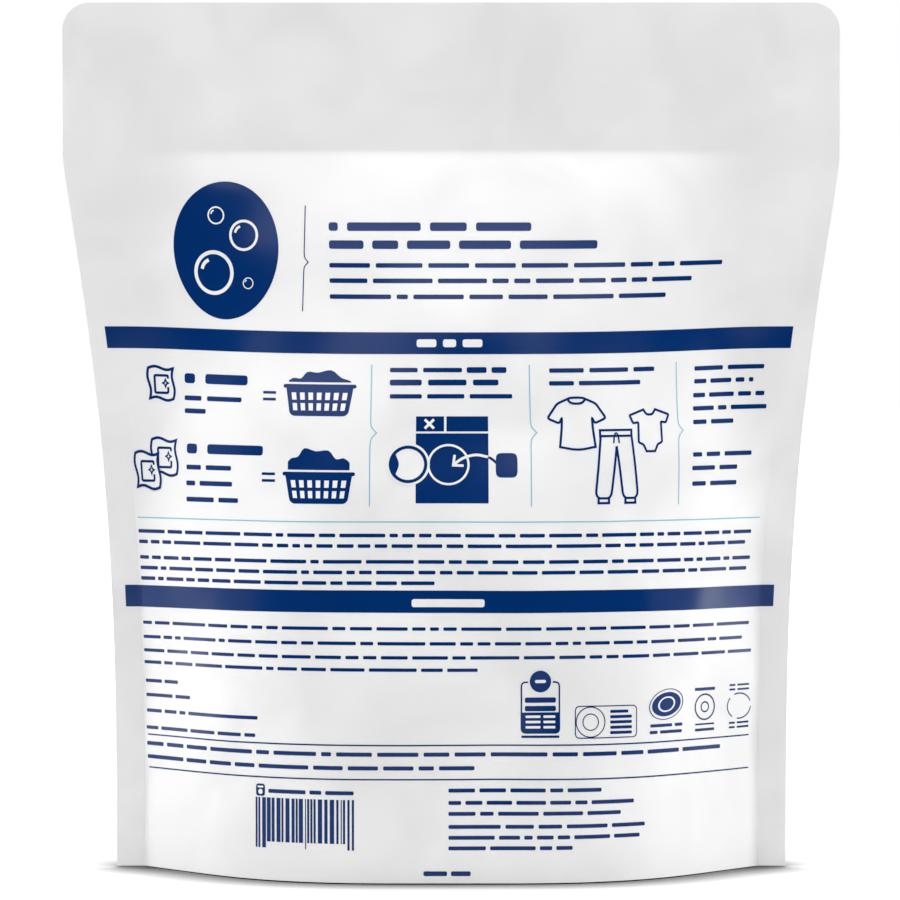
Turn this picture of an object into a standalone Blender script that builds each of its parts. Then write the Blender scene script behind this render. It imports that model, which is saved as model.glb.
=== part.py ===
"""Laundry pod bag: a filled stand-up film pouch, modelled as one closed solid.

The pouch is two film panels welded together at the sides and in a flat header,
with a gusset folded in between them at the base. Each panel is a sheet that bends
but does not stretch, so a place on it is given as film coordinates: u across the
sheet from its middle, v up from its bottom edge. The filled body pulls the sides
of the sheet inwards as it bulges, which gives the pouch its tapered outline.

The photographed panel faces -Y. The origin is in the middle of the base.
"""

import math

import bmesh
import bpy
import numpy as np
from mathutils import Vector
from mathutils.geometry import delaunay_2d_cdt

MM = 0.001

# Driving dimensions of the pouch
FILM_WIDTH = 228.6 * MM
POUCH_HEIGHT = 255.0 * MM
HEADER_HEIGHT = 43.0 * MM
SIDE_SEAL_WIDTH = 9.0 * MM
SEAL_THICKNESS = 0.4 * MM
TOP_CORNER_RADIUS = 8.0 * MM
SHOULDER_RADIUS = 2.0 * MM
SKIRT_HEIGHT = 4.5 * MM
SKIRT_THICKNESS = 0.35 * MM
FLOOR_PATCH_LENGTH = 84.0 * MM

# How the filled body bulges
FLANK_ANGLE = math.radians(46.6)
FLAT_FRONT_SHARE = 0.1
FLANK_START_SHARE = 0.8
BULGE_HEIGHT_POWER = 2.75
BULGE_ONSET_POWER = 0.6
GUSSET_FLAT_SHARE = 0.72
GUSSET_TENT_POWER = 1.25
GUSSET_RISE_POWER = 1.3
DENT_DEPTH = 0.45 * MM

# How the flanks lie back down at the seal, for the width and for the depth of a section:
# the share of the half arc that does so, and the height shares where it starts and is full
WIDTH_EASE = (0.3, 0.55, 0.85)
DEPTH_EASE = (0.2, 0.25, 0.9)

# How the panels lean in towards each other: the share of depth lost at the header, and how late
LEAN_SHARE = 0.43
LEAN_POWER = 2.3

# How far the print sags in the middle of the panel, as two waves up the body
PRINT_SAG_WAVES = ((2, -1.07 * MM), (3, 0.39 * MM))

# Mesh sizes
BODY_COLUMNS = 32
ROW_STEP = 6.0 * MM
SHOULDER_ROW_STEP = 1.0 * MM
SHOULDER_ROW_GROWTH = 1.5
HEADER_ROWS = 4
BACK_COARSENESS = 2
FLANK_SHARE = 0.7
CORNER_SEGMENTS = 6
POCKET_END_INSET = 1.3 * MM
GUSSET_STEPS = (1.0, 0.93, 0.86, 0.72, 0.48, 0.24)
ARC_SAMPLES = 64
CREASE_ANGLE = math.radians(19)

# Print layout in mm on a flat sheet: u across from its middle, v up from its bottom edge.
# The sheet is fitted to the film below the header.
SHEET_WIDTH = 228.6
SHEET_HEIGHT = 212.0
BAND_LEFT, BAND_RIGHT, BAND_HEIGHT = -109.7, 109.0, 6.4
USE_BAND_V, CONTENTS_BAND_V = 156.7, 80.4
EMBLEM_U, EMBLEM_V = -68.3, 182.8
EMBLEM_WIDTH, EMBLEM_HEIGHT, EMBLEM_LEAN = 33.3, 39.9, 0.075
BUBBLE_LINE = 0.9
RULE_HEIGHT = 0.45
ICON_LINE = 0.6

# Order of the material slots, and colours as linear red, green and blue
FIELD_SLOTS = ("white", "navy", "sky", "text")
FILM_WHITE = (0.80, 0.80, 0.80)
INK_NAVY = (0.0, 0.027, 0.15)
INK_SKY = (0.19, 0.46, 0.65)
INK_TEXT = (0.22, 0.26, 0.36)

BODY_HEIGHT = POUCH_HEIGHT - HEADER_HEIGHT
HALF_WIDTH = FILM_WIDTH / 2
HALF_ARC = HALF_WIDTH - SIDE_SEAL_WIDTH
HALF_SEAL = SEAL_THICKNESS / 2


def smooth(value):
    """Ease from 0 to 1 with level ends."""
    held = np.clip(value, 0, 1)
    return held * held * (3 - 2 * held)


def flank_angle(z):
    """Steepest turn of the section at height z: none at the header, full at the base."""
    below = np.clip(BODY_HEIGHT - z, 0, BODY_HEIGHT)
    rounded = np.sqrt(below ** 2 + SHOULDER_RADIUS ** 2) - SHOULDER_RADIUS
    whole = math.hypot(BODY_HEIGHT, SHOULDER_RADIUS) - SHOULDER_RADIUS
    height_share = np.clip(1 - rounded / whole, 0, 1)
    return FLANK_ANGLE * (1 - height_share ** BULGE_HEIGHT_POWER) ** BULGE_ONSET_POWER


def turn(share, height_share, ease):
    """Share of the flank angle at a share of the half arc; eased flanks lie back down at the seal."""
    reach, low, high = ease
    ramp = smooth((share - FLAT_FRONT_SHARE) / (FLANK_START_SHARE - FLAT_FRONT_SHARE))
    level = smooth((share - (1 - reach)) / reach)
    return ramp * (1 - smooth((height_share - low) / (high - low)) * level)


def section(u, z):
    """Half chord and depth, at heights z, of the film points u along the section's arc."""
    share = np.clip(np.abs(u) / HALF_ARC, 0, 1)[..., None]
    along = HALF_ARC * share[..., 0]
    angle = flank_angle(z)[..., None]
    up = (z / BODY_HEIGHT)[..., None]
    samples = (np.arange(ARC_SAMPLES) + 0.5) / ARC_SAMPLES
    plain = np.cos(angle * turn(samples, 0, WIDTH_EASE)).mean(-1)
    eased = np.cos(angle * turn(samples, up, WIDTH_EASE)).mean(-1)
    chord = along * np.cos(angle * turn(share * samples, up, WIDTH_EASE)).mean(-1) * plain / eased
    whole_depth = HALF_ARC * np.sin(angle * turn(samples, up, DEPTH_EASE)).mean(-1)
    depth = whole_depth - along * np.sin(angle * turn(share * samples, up, DEPTH_EASE)).mean(-1)
    lean = 1 - LEAN_SHARE * np.clip(up[..., 0], 0, 1) ** LEAN_POWER
    return chord, depth * lean, whole_depth * lean


def dents(u, z, fullness):
    """Shallow waves that the packs inside press into the film."""
    across = u / FILM_WIDTH
    up = z / POUCH_HEIGHT
    wide = np.sin(math.tau * (2.1 * across + 0.15)) * np.sin(math.tau * (2.7 * up + 0.4))
    slanted = np.sin(math.tau * (3.7 * across - 2.9 * up)) * 0.6
    return DENT_DEPTH * fullness * (wide + slanted)


def print_sag(v):
    """How far the print's lines hang lower in the middle of the panel than at the seals."""
    share = np.clip(v / BODY_HEIGHT, 0, 1)
    return sum(size * np.sin(waves * math.pi * share) for waves, size in PRINT_SAG_WAVES)


def film_point(u, v, facing):
    """World place of film coordinates, on the panel that faces -Y (facing -1) or +Y (facing 1)."""
    seam_depth = section(u, v)
    fullness = seam_depth[1] / np.maximum(seam_depth[2], MM * MM)
    z = np.where(v < BODY_HEIGHT, v - print_sag(v) * fullness, v)
    chord, depth, _ = section(u, z)
    seal = np.clip(np.abs(u) - HALF_ARC, 0, None)
    x = np.sign(u) * (chord + seal)
    level = smooth(z / (BODY_HEIGHT * 0.2))
    bulge = depth + dents(u, z, fullness * level)
    bulge = np.where(np.abs(u) < HALF_ARC, np.maximum(bulge, 0), 0)
    return np.stack([x, facing * (HALF_SEAL + bulge), z], axis=-1)


def body_columns(coarseness=1):
    """Film columns across the body from seal to seal; a coarse panel skips some, but not on its flanks."""
    columns = np.linspace(-HALF_ARC, HALF_ARC, BODY_COLUMNS + 1)
    regular = np.arange(BODY_COLUMNS + 1) % coarseness == 0
    return columns[regular | (np.abs(columns) > FLANK_SHARE * HALF_ARC)]


def body_rows(coarseness=1):
    """Film rows up the body, closer together where the shoulder bends under the header."""
    rows = [BODY_HEIGHT]
    step = SHOULDER_ROW_STEP
    while step < ROW_STEP:
        rows.append(rows[-1] - step)
        step *= SHOULDER_ROW_GROWTH
    plain = round(rows[-1] / (ROW_STEP * coarseness))
    rows.extend(np.linspace(rows[-1], 0, plain + 1)[1:])
    return np.array(rows[::-1])


def header_rows():
    """Film rows across the flat header, the first one close above the shoulder."""
    low = BODY_HEIGHT + 2 * SHOULDER_ROW_STEP
    return np.linspace(low, POUCH_HEIGHT, HEADER_ROWS + 1)[:-1]


def base_columns():
    """Film columns along the bottom edge, with the ends of the gusset's pockets."""
    ends = (HALF_ARC - POCKET_END_INSET) * np.array([-1, 1])
    return np.sort(np.concatenate([body_columns(), ends]))


def outline():
    """Film outline, counterclockwise from the left end of the bottom edge."""
    side = [v for v in body_rows() if v > 0]
    top = POUCH_HEIGHT - TOP_CORNER_RADIUS
    right = [(HALF_WIDTH, v) for v in side] + corner(1, top)
    left = [(-u, v) for u, v in reversed(right)]
    bottom = [(-HALF_WIDTH, 0.0)] + [(u, 0.0) for u in base_columns()] + [(HALF_WIDTH, 0.0)]
    return bottom + right + left


def corner(side, top):
    """Round top corner on one side."""
    angles = np.linspace(0, math.pi / 2, CORNER_SEGMENTS + 1)
    centre = HALF_WIDTH - TOP_CORNER_RADIUS
    return [(side * (centre + TOP_CORNER_RADIUS * math.cos(a)), top + TOP_CORNER_RADIUS * math.sin(a))
            for a in angles]


def rectangle(left, bottom, right, top):
    """Corners of an upright rectangle."""
    return [(left, bottom), (right, bottom), (right, top), (left, top)]


def oval(u, v, width, height, count=24, lean=0.0):
    """Corners of an oval, leant to the right by a share of its height."""
    angles = [math.tau * k / count for k in range(count)]
    return [(u + width / 2 * math.cos(a) + lean * height / 2 * math.sin(a), v + height / 2 * math.sin(a))
            for a in angles]


def mirrored(u, v, half):
    """Closed outline from its right half, listed from the top middle down to the bottom middle."""
    right = [(u + a, v + b) for a, b in half]
    left = [(u - a, v + b) for a, b in reversed(half) if a > 0]
    return right + left


def inset(points, distance):
    """Outline moved inwards by a distance, corner by corner."""
    ring = np.array(points)
    area = np.cross(ring, np.roll(ring, -1, axis=0)).sum()
    ahead = np.roll(ring, -1, axis=0) - ring
    ahead /= np.linalg.norm(ahead, axis=1)[:, None]
    inward = np.stack([-ahead[:, 1], ahead[:, 0]], axis=1) * np.sign(area)
    before = np.roll(inward, 1, axis=0)
    mitre = inward + before
    mitre /= (mitre * inward).sum(axis=1)[:, None]
    return [tuple(p) for p in ring + mitre * distance]


def outlined(points, width=ICON_LINE):
    """Navy outline around a pale shape."""
    return [("navy", points), ("white", inset(points, width))]


def band_fields():
    """Two navy bands across the panel, each with a pale title bar."""
    fields = []
    for v, left, right in ((USE_BAND_V, -10.3, 9.3), (CONTENTS_BAND_V, -11.4, 9.6)):
        half = BAND_HEIGHT / 2
        fields.append(("navy", rectangle(BAND_LEFT, v - half, BAND_RIGHT, v + half)))
        fields.append(("white", rectangle(left, v - 1.2, right, v + 1.2)))
    return fields


def emblem_fields():
    """Navy oval with plain round bubbles, beside a thin divider."""
    fields = [("navy", oval(EMBLEM_U, EMBLEM_V, EMBLEM_WIDTH, EMBLEM_HEIGHT, 40, EMBLEM_LEAN))]
    for u, v, size in ((-72.6, 176.4, 13.0), (-62.2, 187.4, 9.0), (-70.4, 193.0, 5.2)):
        inner = size - 2 * BUBBLE_LINE
        fields.append(("white", oval(u, v, size, size, 16, EMBLEM_LEAN)))
        fields.append(("navy", oval(u, v, inner, inner, 16, EMBLEM_LEAN)))
    fields.append(("white", oval(-61.6, 173.6, 2.8, 2.8, 10, EMBLEM_LEAN)))
    foot, head = (-44.7, 165.8), (-43.2, 196.1)
    fields.append(("text", [foot, (foot[0] + RULE_HEIGHT, foot[1]), (head[0] + RULE_HEIGHT, head[1]), head]))
    return fields


def text_bars(height, rows, colour="text"):
    """Lines of text as bars: left end, right end and middle height of each."""
    return [(colour, rectangle(left, v - height / 2, right, v + height / 2)) for left, right, v in rows]


def text_fields():
    """Every line of text on the panel."""
    fields = text_bars(2.9, ((-36.3, 23.7, 190.2), (-36.3, 43.5, 185.1)), "navy")
    fields += text_bars(2.0, ((-36.3, 83.4, 179.2), (-36.3, 73.8, 174.8), (-36.3, 65.5, 170.2)))
    fields += text_bars(3.4, ((-85.0, -62.2, 145.1), (-83.9, -56.1, 124.4)), "navy")
    fields += text_bars(2.0, ((-85.0, -64.1, 139.3), (-84.9, -77.0, 135.5), (-84.1, -67.0, 118.9),
                              (-84.4, -66.7, 114.2), (-84.6, -64.6, 109.4)))
    fields += text_bars(2.0, ((-18.2, 16.4, 148.8), (-18.2, 14.0, 145.1), (-18.1, 18.0, 141.0)))
    fields += text_bars(2.0, ((29.1, 62.1, 148.6), (29.0, 57.3, 144.8)))
    fields += text_bars(1.9, ((76.4, 100.6, 148.2), (76.3, 97.4, 144.4), (75.8, 101.4, 140.3),
                              (75.6, 102.5, 136.4), (75.5, 90.8, 132.4)))
    fields += text_bars(1.9, ((75.1, 98.0, 122.8), (74.8, 92.6, 118.8), (74.9, 92.6, 114.2)))
    fields += text_bars(1.7, ((-105.1, 99.8, 99.6), (-105.1, 97.5, 96.5), (-105.1, 99.9, 91.9),
                              (-105.1, 98.5, 88.8), (-105.1, -4.8, 85.7)))
    fields += text_bars(1.6, ((-105.1, 100.6, 72.6), (-105.1, 97.7, 68.4), (-105.1, 101.9, 64.4),
                              (-105.1, 7.6, 60.9)))
    fields += text_bars(1.7, ((-104.7, -90.4, 55.4), (-104.6, -85.1, 51.2), (-104.5, -58.0, 46.6),
                              (-104.7, -58.8, 41.6)))
    fields += text_bars(1.8, ((-104.6, 88.7, 36.9), (-104.4, 6.7, 33.0)))
    fields += text_bars(1.7, ((-54.3, -28.1, 25.9),))
    fields += text_bars(1.8, ((-0.8, 43.8, 26.7), (-0.8, 54.2, 23.2), (-0.8, 49.9, 20.1), (-0.8, 58.0, 16.4),
                              (-0.8, 56.2, 13.3), (-0.8, 35.1, 10.3)))
    fields += text_bars(1.7, ((-8.0, 5.6, 3.0),))
    return fields


def rule_fields():
    """Thin rules: pale ones between the steps and under them, two navy ones further down."""
    half = RULE_HEIGHT / 2
    fields = []
    for colour, left, right, v in (("sky", -105.2, 103.1, 103.6), ("navy", -104.2, 100.9, 39.5),
                                   ("navy", -103.9, 101.0, 29.8)):
        fields.append((colour, rectangle(left, v - half, right, v + half)))
    for u in (-23.6, 23.2, 69.8):
        fields.append(("sky", rectangle(u - half, 108.2, u + half, 150.3)))
    return fields


def pod_fields(left, bottom, right, top):
    """A pillow-shaped pack with a square inside."""
    u, v = (left + right) / 2, (bottom + top) / 2
    wide, high = (right - left) / 2, (top - bottom) / 2
    pillow = [(u + wide * a, v + high * b) for a, b in
              ((-1, -1), (0, -0.9), (1, -1), (0.9, 0), (1, 1), (0, 0.9), (-1, 1), (-0.9, 0))]
    square = rectangle(u - wide * 0.52, v - high * 0.58, u + wide * 0.52, v + high * 0.52)
    return outlined(pillow) + outlined(square)


def basket_fields(left, right, rim, heap_height):
    """A full laundry basket, its rim at height rim."""
    u, half = (left + right) / 2, (right - left) / 2
    heap = [(0, 0.85), (0.28, 0.95), (0.45, 0.5), (0.68, 0.5), (0.84, 0.05)]
    heap = [(a * half, rim + 0.9 + b * heap_height) for a, b in heap]
    fields = [("navy", mirrored(u, 0, heap))]
    fields.append(("navy", rectangle(left, rim, right, rim + 1.15)))
    body = [(0, rim), (half * 0.91, rim), (half * 0.81, rim - 6.9), (half * 0.74, rim - 7.8)]
    fields.append(("navy", mirrored(u, 0, body + [(0, rim - 7.8)])))
    for bottom in (rim - 3.5, rim - 6.6):
        for slot in range(-3, 4):
            middle = u + slot * half * 0.235
            fields.append(("white", rectangle(middle - 0.5, bottom, middle + 0.5, bottom + 2.1)))
    return fields


def washer_fields():
    """A front-loading machine from the front: top panels, body, drum ring, open door and a pack."""
    fields = [("navy", rectangle(-10.3, 130.5, -2.1, 135.0)), ("navy", rectangle(-1.4, 130.5, 10.8, 135.0))]
    fields.append(("navy", rectangle(-10.3, 109.1, 10.8, 129.9)))
    fields += [("white", oval(-0.8, 120.6, 12.3, 12.3)), ("navy", oval(-0.8, 120.6, 10.9, 10.9))]
    fields += [("white", oval(-12.5, 120.7, 12.6, 12.6)), ("navy", oval(-12.5, 120.7, 11.2, 11.2))]
    fields.append(("white", oval(-11.9, 120.7, 8.8, 8.8, 18)))
    fields.append(("navy", rectangle(12.9, 116.8, 19.2, 124.0)))
    return fields


def clothes_fields():
    """A shirt, a pair of trousers and a baby suit in outline."""
    shirt = [(0, 6.4), (2.4, 7.9), (5.0, 6.9), (8.8, 2.0), (5.9, 0.2), (4.6, 1.9), (5.2, -7.2), (0, -7.8)]
    trousers = [(0, 10.9), (4.9, 10.9), (5.0, 7.0), (6.6, -10.9), (2.7, -10.9), (0, 5.4)]
    suit = [(0, 4.9), (2.0, 6.2), (6.6, 4.6), (5.5, 2.3), (3.8, 2.5), (3.9, -3.4), (1.5, -6.2), (0, -6.2)]
    fields = outlined(mirrored(37.0, 132.8, shirt))
    fields += outlined(mirrored(48.8, 119.8, trousers))
    fields += outlined(mirrored(59.9, 130.4, suit))
    return fields


def badge_fields():
    """Plain badges in a row: a tag, a tile, an oval and two rings."""
    fields = outlined(rectangle(20.2, 43.0, 31.2, 57.4), 0.5) + [("navy", rectangle(20.2, 43.0, 31.2, 48.8))]
    fields.append(("navy", oval(25.7, 57.6, 6.2, 6.2, 14)))
    fields += outlined(rectangle(35.9, 41.4, 55.1, 50.4), 0.45)
    fields.append(("text", rectangle(46.5, 43.0, 53.4, 48.9)))
    fields.append(("navy", oval(66.0, 50.2, 12.9, 8.9, 20, 0.25)))
    fields += outlined(oval(81.8, 48.7, 8.9, 7.8, 16)) + [("navy", oval(81.8, 48.7, 3.8, 3.4, 10))]
    fields += outlined(oval(97.0, 48.3, 10.4, 7.4, 16), 0.5)
    fields += text_bars(1.2, ((59.8, 72.2, 43.2), (77.5, 86.2, 42.4), (92.6, 101.4, 42.8)))
    return fields


def stripe_fields():
    """A plain run of upright stripes with evenly varied widths, and the small square above it."""
    fields = [("navy", oval(-57.0, 26.1, 3.1, 3.5, 8))]
    left = -58.7
    for stripe in range(14):
        width = 0.8 + 0.45 * (stripe * 5 % 3)
        fields.append(("navy", rectangle(left, 11.4, left + width, 24.0)))
        left += 2.2
    return fields


def front_fields():
    """Every coloured field of the photographed panel in mm on the sheet, later ones over earlier ones."""
    fields = band_fields() + emblem_fields() + text_fields() + rule_fields()
    fields += pod_fields(-98.7, 137.9, -87.9, 148.8)
    fields += pod_fields(-98.6, 116.0, -86.8, 127.8) + pod_fields(-105.0, 111.7, -93.4, 123.9)
    fields += basket_fields(-50.1, -27.7, 143.0, 4.0) + basket_fields(-49.4, -27.6, 117.2, 6.6)
    fields += washer_fields() + clothes_fields()
    fields += badge_fields() + stripe_fields()
    return fields


def on_film(points):
    """Film coordinates of places on the flat sheet."""
    return [(u / SHEET_WIDTH * FILM_WIDTH, v / SHEET_HEIGHT * BODY_HEIGHT) for u, v in points]


def inside(points, polygon):
    """Which points lie inside a closed polygon, by counting crossings to their right."""
    found = np.zeros(len(points), dtype=bool)
    u, v = points[:, 0], points[:, 1]
    for (u0, v0), (u1, v1) in zip(polygon, polygon[1:] + polygon[:1]):
        if v0 == v1:
            continue
        spans = (v0 > v) != (v1 > v)
        crossing = u0 + (v - v0) / (v1 - v0) * (u1 - u0)
        found ^= spans & (u < crossing)
    return found


def split(points, columns, rows):
    """Outline with a corner added wherever an edge crosses a film column or row, so that it bends with them."""
    result = []
    for (u0, v0), (u1, v1) in zip(points, points[1:] + points[:1]):
        shares = {0.0}
        for lines, start, end in ((columns, u0, u1), (rows, v0, v1)):
            if abs(end - start) > MM:
                shares.update(float(s) for s in (np.array(lines) - start) / (end - start) if 0.001 < s < 0.999)
        result += [(u0 + (u1 - u0) * s, v0 + (v1 - v0) * s) for s in sorted(shares)]
    return result


def panel_mesh(facing, coarseness, fields):
    """One film panel as triangles that follow its creases and the edges of its coloured fields."""
    border = outline()
    places = [Vector((u / MM, v / MM)) for u, v in border]
    edges = [(i, (i + 1) % len(border)) for i in range(len(border))]
    rows = [v for v in body_rows(coarseness) if v > 0]
    columns = body_columns(coarseness)
    creases = [[(side * HALF_ARC, v) for v in [0.0] + rows] for side in (-1, 1)]
    creases.append([(-HALF_WIDTH, BODY_HEIGHT)] + [(u, BODY_HEIGHT) for u in columns]
                   + [(HALF_WIDTH, BODY_HEIGHT)])
    fields = [(colour, on_film(points)) for colour, points in fields]
    shapes = [split(points, columns, rows) for _, points in fields]
    loops = creases + [points + points[:1] for points in shapes]
    for loop in loops:
        first = len(places)
        places += [Vector((u / MM, v / MM)) for u, v in loop]
        edges += [(k, k + 1) for k in range(first, len(places) - 1)]
    places += [Vector((u / MM, v / MM)) for v in rows[:-1] for u in columns[1:-1]]
    places += [Vector((u / MM, v / MM)) for v in header_rows() for u in columns[::2]]
    flat, _, triangles, sources, _, _ = delaunay_2d_cdt(places, edges, [], 0, 1e-4)
    uv = np.array([tuple(p) for p in flat]) * MM
    at = {source: index for index, group in enumerate(sources) for source in group}
    ring = [at[i] for i in range(len(border))]
    uv[ring] = np.array(border)
    middles = np.array([uv[list(t)].mean(axis=0) for t in triangles])
    colours = np.zeros(len(triangles), dtype=int)
    for colour, points in fields:
        colours[inside(middles, points)] = FIELD_SLOTS.index(colour)
    verts = film_point(uv[:, 0], uv[:, 1], facing)
    return verts, [list(t) for t in triangles], colours, ring


def gusset_rise(x, end):
    """Height of the gusset's fold above the floor, from the flat patch out to the pocket's end."""
    start = FLOOR_PATCH_LENGTH / 2
    share = np.clip((np.abs(x) - start) / (end - start), 0, 1)
    fold = base_depth() + SKIRT_HEIGHT
    return fold * np.sin(share * math.pi / 2) ** GUSSET_RISE_POWER


def base_depth():
    """Depth of one panel at the middle of the base."""
    return float(section(np.array([0.0]), np.array([0.0]))[1][0])


def gusset_path(x, reach, rise):
    """Points under one base column, from the front skirt's foot to the back skirt's foot."""
    inner = reach - SKIRT_THICKNESS
    half = [(-inner, 0.0)]
    for step in GUSSET_STEPS:
        lip = SKIRT_HEIGHT * float(smooth((step - GUSSET_FLAT_SHARE) / (1 - GUSSET_FLAT_SHARE)))
        half.append((-inner * step, lip + rise * (1 - step) ** GUSSET_TENT_POWER))
    path = half + [(0.0, rise)] + [(-y, z) for y, z in reversed(half)]
    return [(x, y, z) for y, z in path]


def closed_path(x):
    """The same points where the pocket has closed: a row across the seal's thickness."""
    count = 2 * (len(GUSSET_STEPS) + 1) + 1
    return [(x, -HALF_SEAL + SEAL_THICKNESS * (k + 1) / (count + 1), 0.0) for k in range(count)]


def build_pouch():
    """Join the two panels by their rim and close the base with the gusset."""
    front, front_faces, front_colours, front_ring = panel_mesh(-1, 1, front_fields())
    back, back_faces, back_colours, back_ring = panel_mesh(1, BACK_COARSENESS, [])
    shift = len(front)
    verts = [tuple(p) for p in front] + [tuple(p) for p in back]
    faces = front_faces + [[i + shift for i in reversed(f)] for f in back_faces]
    slots = list(front_colours) + list(back_colours)
    back_ring = [i + shift for i in back_ring]
    columns = base_columns()
    first, last = 1, len(columns)
    for k in range(last + 1, len(front_ring)):
        ahead = (k + 1) % len(front_ring)
        faces.append([front_ring[k], back_ring[k], back_ring[ahead], front_ring[ahead]])
    pocket_end = abs(verts[front_ring[first + 1]][0])
    paths = []
    for k in range(first, last + 1):
        x, y, _ = verts[front_ring[k]]
        closed = k in (first, last)
        points = closed_path(x) if closed else gusset_path(x, -y, float(gusset_rise(x, pocket_end)))
        start = len(verts)
        verts += points
        paths.append([front_ring[k]] + list(range(start, start + len(points))) + [back_ring[k]])
    for left, right in zip(paths, paths[1:]):
        for k in range(len(left) - 1):
            faces.append([left[k], left[k + 1], right[k + 1], right[k]])
    for path, corner_index in ((paths[0], 0), (paths[-1], last + 1)):
        middle = len(path) // 2
        near, far = front_ring[corner_index], back_ring[corner_index]
        for k in range(len(path) - 1):
            tip = near if k < middle else far
            faces.append([path[k], tip, path[k + 1]])
        faces.append([near, far, path[middle]])
    slots += [0] * (len(faces) - len(slots))
    return verts, faces, slots


def film_material(name, colour, roughness):
    """Principled material of the film or of one ink on it."""
    material = bpy.data.materials.new(name)
    material.use_nodes = True
    shader = material.node_tree.nodes["Principled BSDF"]
    shader.inputs["Base Color"].default_value = (*colour, 1.0)
    shader.inputs["Roughness"].default_value = roughness
    shader.inputs["Metallic"].default_value = 0.0
    return material


def turn_faces_out(mesh):
    """Make every face of the closed mesh point outwards."""
    shape = bmesh.new()
    shape.from_mesh(mesh)
    bmesh.ops.recalc_face_normals(shape, faces=shape.faces)
    shape.to_mesh(mesh)
    shape.free()


def main():
    """Clear the scene and build the pouch."""
    for old in list(bpy.data.objects):
        bpy.data.objects.remove(old, do_unlink=True)
    verts, faces, slots = build_pouch()
    mesh = bpy.data.meshes.new("pouch")
    mesh.from_pydata(verts, [], faces)
    mesh.materials.append(film_material("film_white", FILM_WHITE, 0.35))
    mesh.materials.append(film_material("ink_navy", INK_NAVY, 0.35))
    mesh.materials.append(film_material("ink_sky", INK_SKY, 0.35))
    mesh.materials.append(film_material("ink_text", INK_TEXT, 0.35))
    mesh.polygons.foreach_set("material_index", slots)
    turn_faces_out(mesh)
    mesh.shade_smooth()
    mesh.set_sharp_from_angle(angle=CREASE_ANGLE)
    pouch = bpy.data.objects.new("pouch", mesh)
    bpy.context.scene.collection.objects.link(pouch)


main()
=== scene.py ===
"""Laundry pod bag: the finished look of a filled stand-up film pouch in a plain studio.

The pouch's film bends but does not stretch, so every place on a panel is given in film
coordinates: u across the sheet from its middle and v up from its bottom edge. The film,
and each piece of print on it, is a surface over those two parameters. The printed panel
faces -Y.
"""

import math
import random

import bmesh
import bpy
import numpy as np
from bpy.props import FloatProperty, FloatVectorProperty, PointerProperty
from bpy.types import Operator, Panel, PropertyGroup
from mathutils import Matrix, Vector


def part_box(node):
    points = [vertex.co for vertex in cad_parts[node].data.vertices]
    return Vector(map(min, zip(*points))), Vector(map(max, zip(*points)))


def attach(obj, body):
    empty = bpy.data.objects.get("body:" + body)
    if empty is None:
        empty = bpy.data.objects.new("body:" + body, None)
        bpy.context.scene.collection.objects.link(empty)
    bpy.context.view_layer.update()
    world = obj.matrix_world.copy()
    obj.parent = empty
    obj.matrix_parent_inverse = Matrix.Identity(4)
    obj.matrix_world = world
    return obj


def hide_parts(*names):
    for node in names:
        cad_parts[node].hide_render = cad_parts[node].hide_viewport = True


bl_info = {
    "name": "Laundry Pod Bag",
    "version": (1, 0, 0),
    "blender": (4, 5, 0),
    "location": "3D View > Sidebar > Pouch",
    "description": "Builds a filled stand-up film pouch, its print and a plain studio",
    "category": "Add Mesh",
}

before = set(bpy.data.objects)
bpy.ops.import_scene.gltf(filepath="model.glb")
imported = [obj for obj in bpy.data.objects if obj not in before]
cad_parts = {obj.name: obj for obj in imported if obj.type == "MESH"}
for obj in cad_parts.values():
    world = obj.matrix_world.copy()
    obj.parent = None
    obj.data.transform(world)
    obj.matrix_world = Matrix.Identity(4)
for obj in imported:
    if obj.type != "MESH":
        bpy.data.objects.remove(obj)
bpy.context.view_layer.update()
POUCH_LOW, POUCH_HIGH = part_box("pouch")
BODY = "root"
MM = 0.001


def length_property(name, description, default):
    """A size in metres that a user can change."""
    return FloatProperty(name=name, description=description, default=default, min=0.0,
                         subtype="DISTANCE", unit="LENGTH")


def colour_property(name, description, default):
    """A linear colour that a user can change."""
    return FloatVectorProperty(name=name, description=description, default=default, size=3,
                               min=0.0, max=1.0, subtype="COLOR")


class PouchSizes(PropertyGroup):
    """Sizes of the filled pouch."""

    film_width: length_property("Film Width", "Flat width of each panel", POUCH_HIGH.x - POUCH_LOW.x)
    height: length_property("Height", "Height from the floor to the top edge", POUCH_HIGH.z)
    header: length_property("Header", "Height of the flat welded header", 43.0 * MM)
    side_seal: length_property("Side Seal", "Width of each side seal", 8.2 * MM)
    seal_thickness: length_property("Seal Thickness", "Thickness of the welded layers", 0.4 * MM)
    corner_radius: length_property("Corner Radius", "Radius of the top corners", 8.0 * MM)
    shoulder_radius: length_property("Shoulder Radius", "Softness of the bend under the header", 2.8 * MM)
    skirt: length_property("Skirt", "Height of the film edge below the gusset's weld", 4.5 * MM)
    skirt_thickness: length_property("Skirt Thickness", "Thickness of that edge", 0.35 * MM)
    floor_patch: length_property("Floor Patch", "Length of the gusset's flat middle", 84.0 * MM)
    flank_angle: FloatProperty(name="Flank Angle", description="Steepest turn of the filled section",
                               default=math.radians(46.6), subtype="ANGLE", unit="ROTATION")
    dent_depth: length_property("Dent Depth", "Depth of the shallow waves in the film", 0.45 * MM)
    header_ripple: length_property("Header Ripple", "Unevenness of the flat header", 1.5 * MM)
    body_ripple: length_property("Body Ripple", "Unevenness of the filled body", 1.2 * MM)


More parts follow.
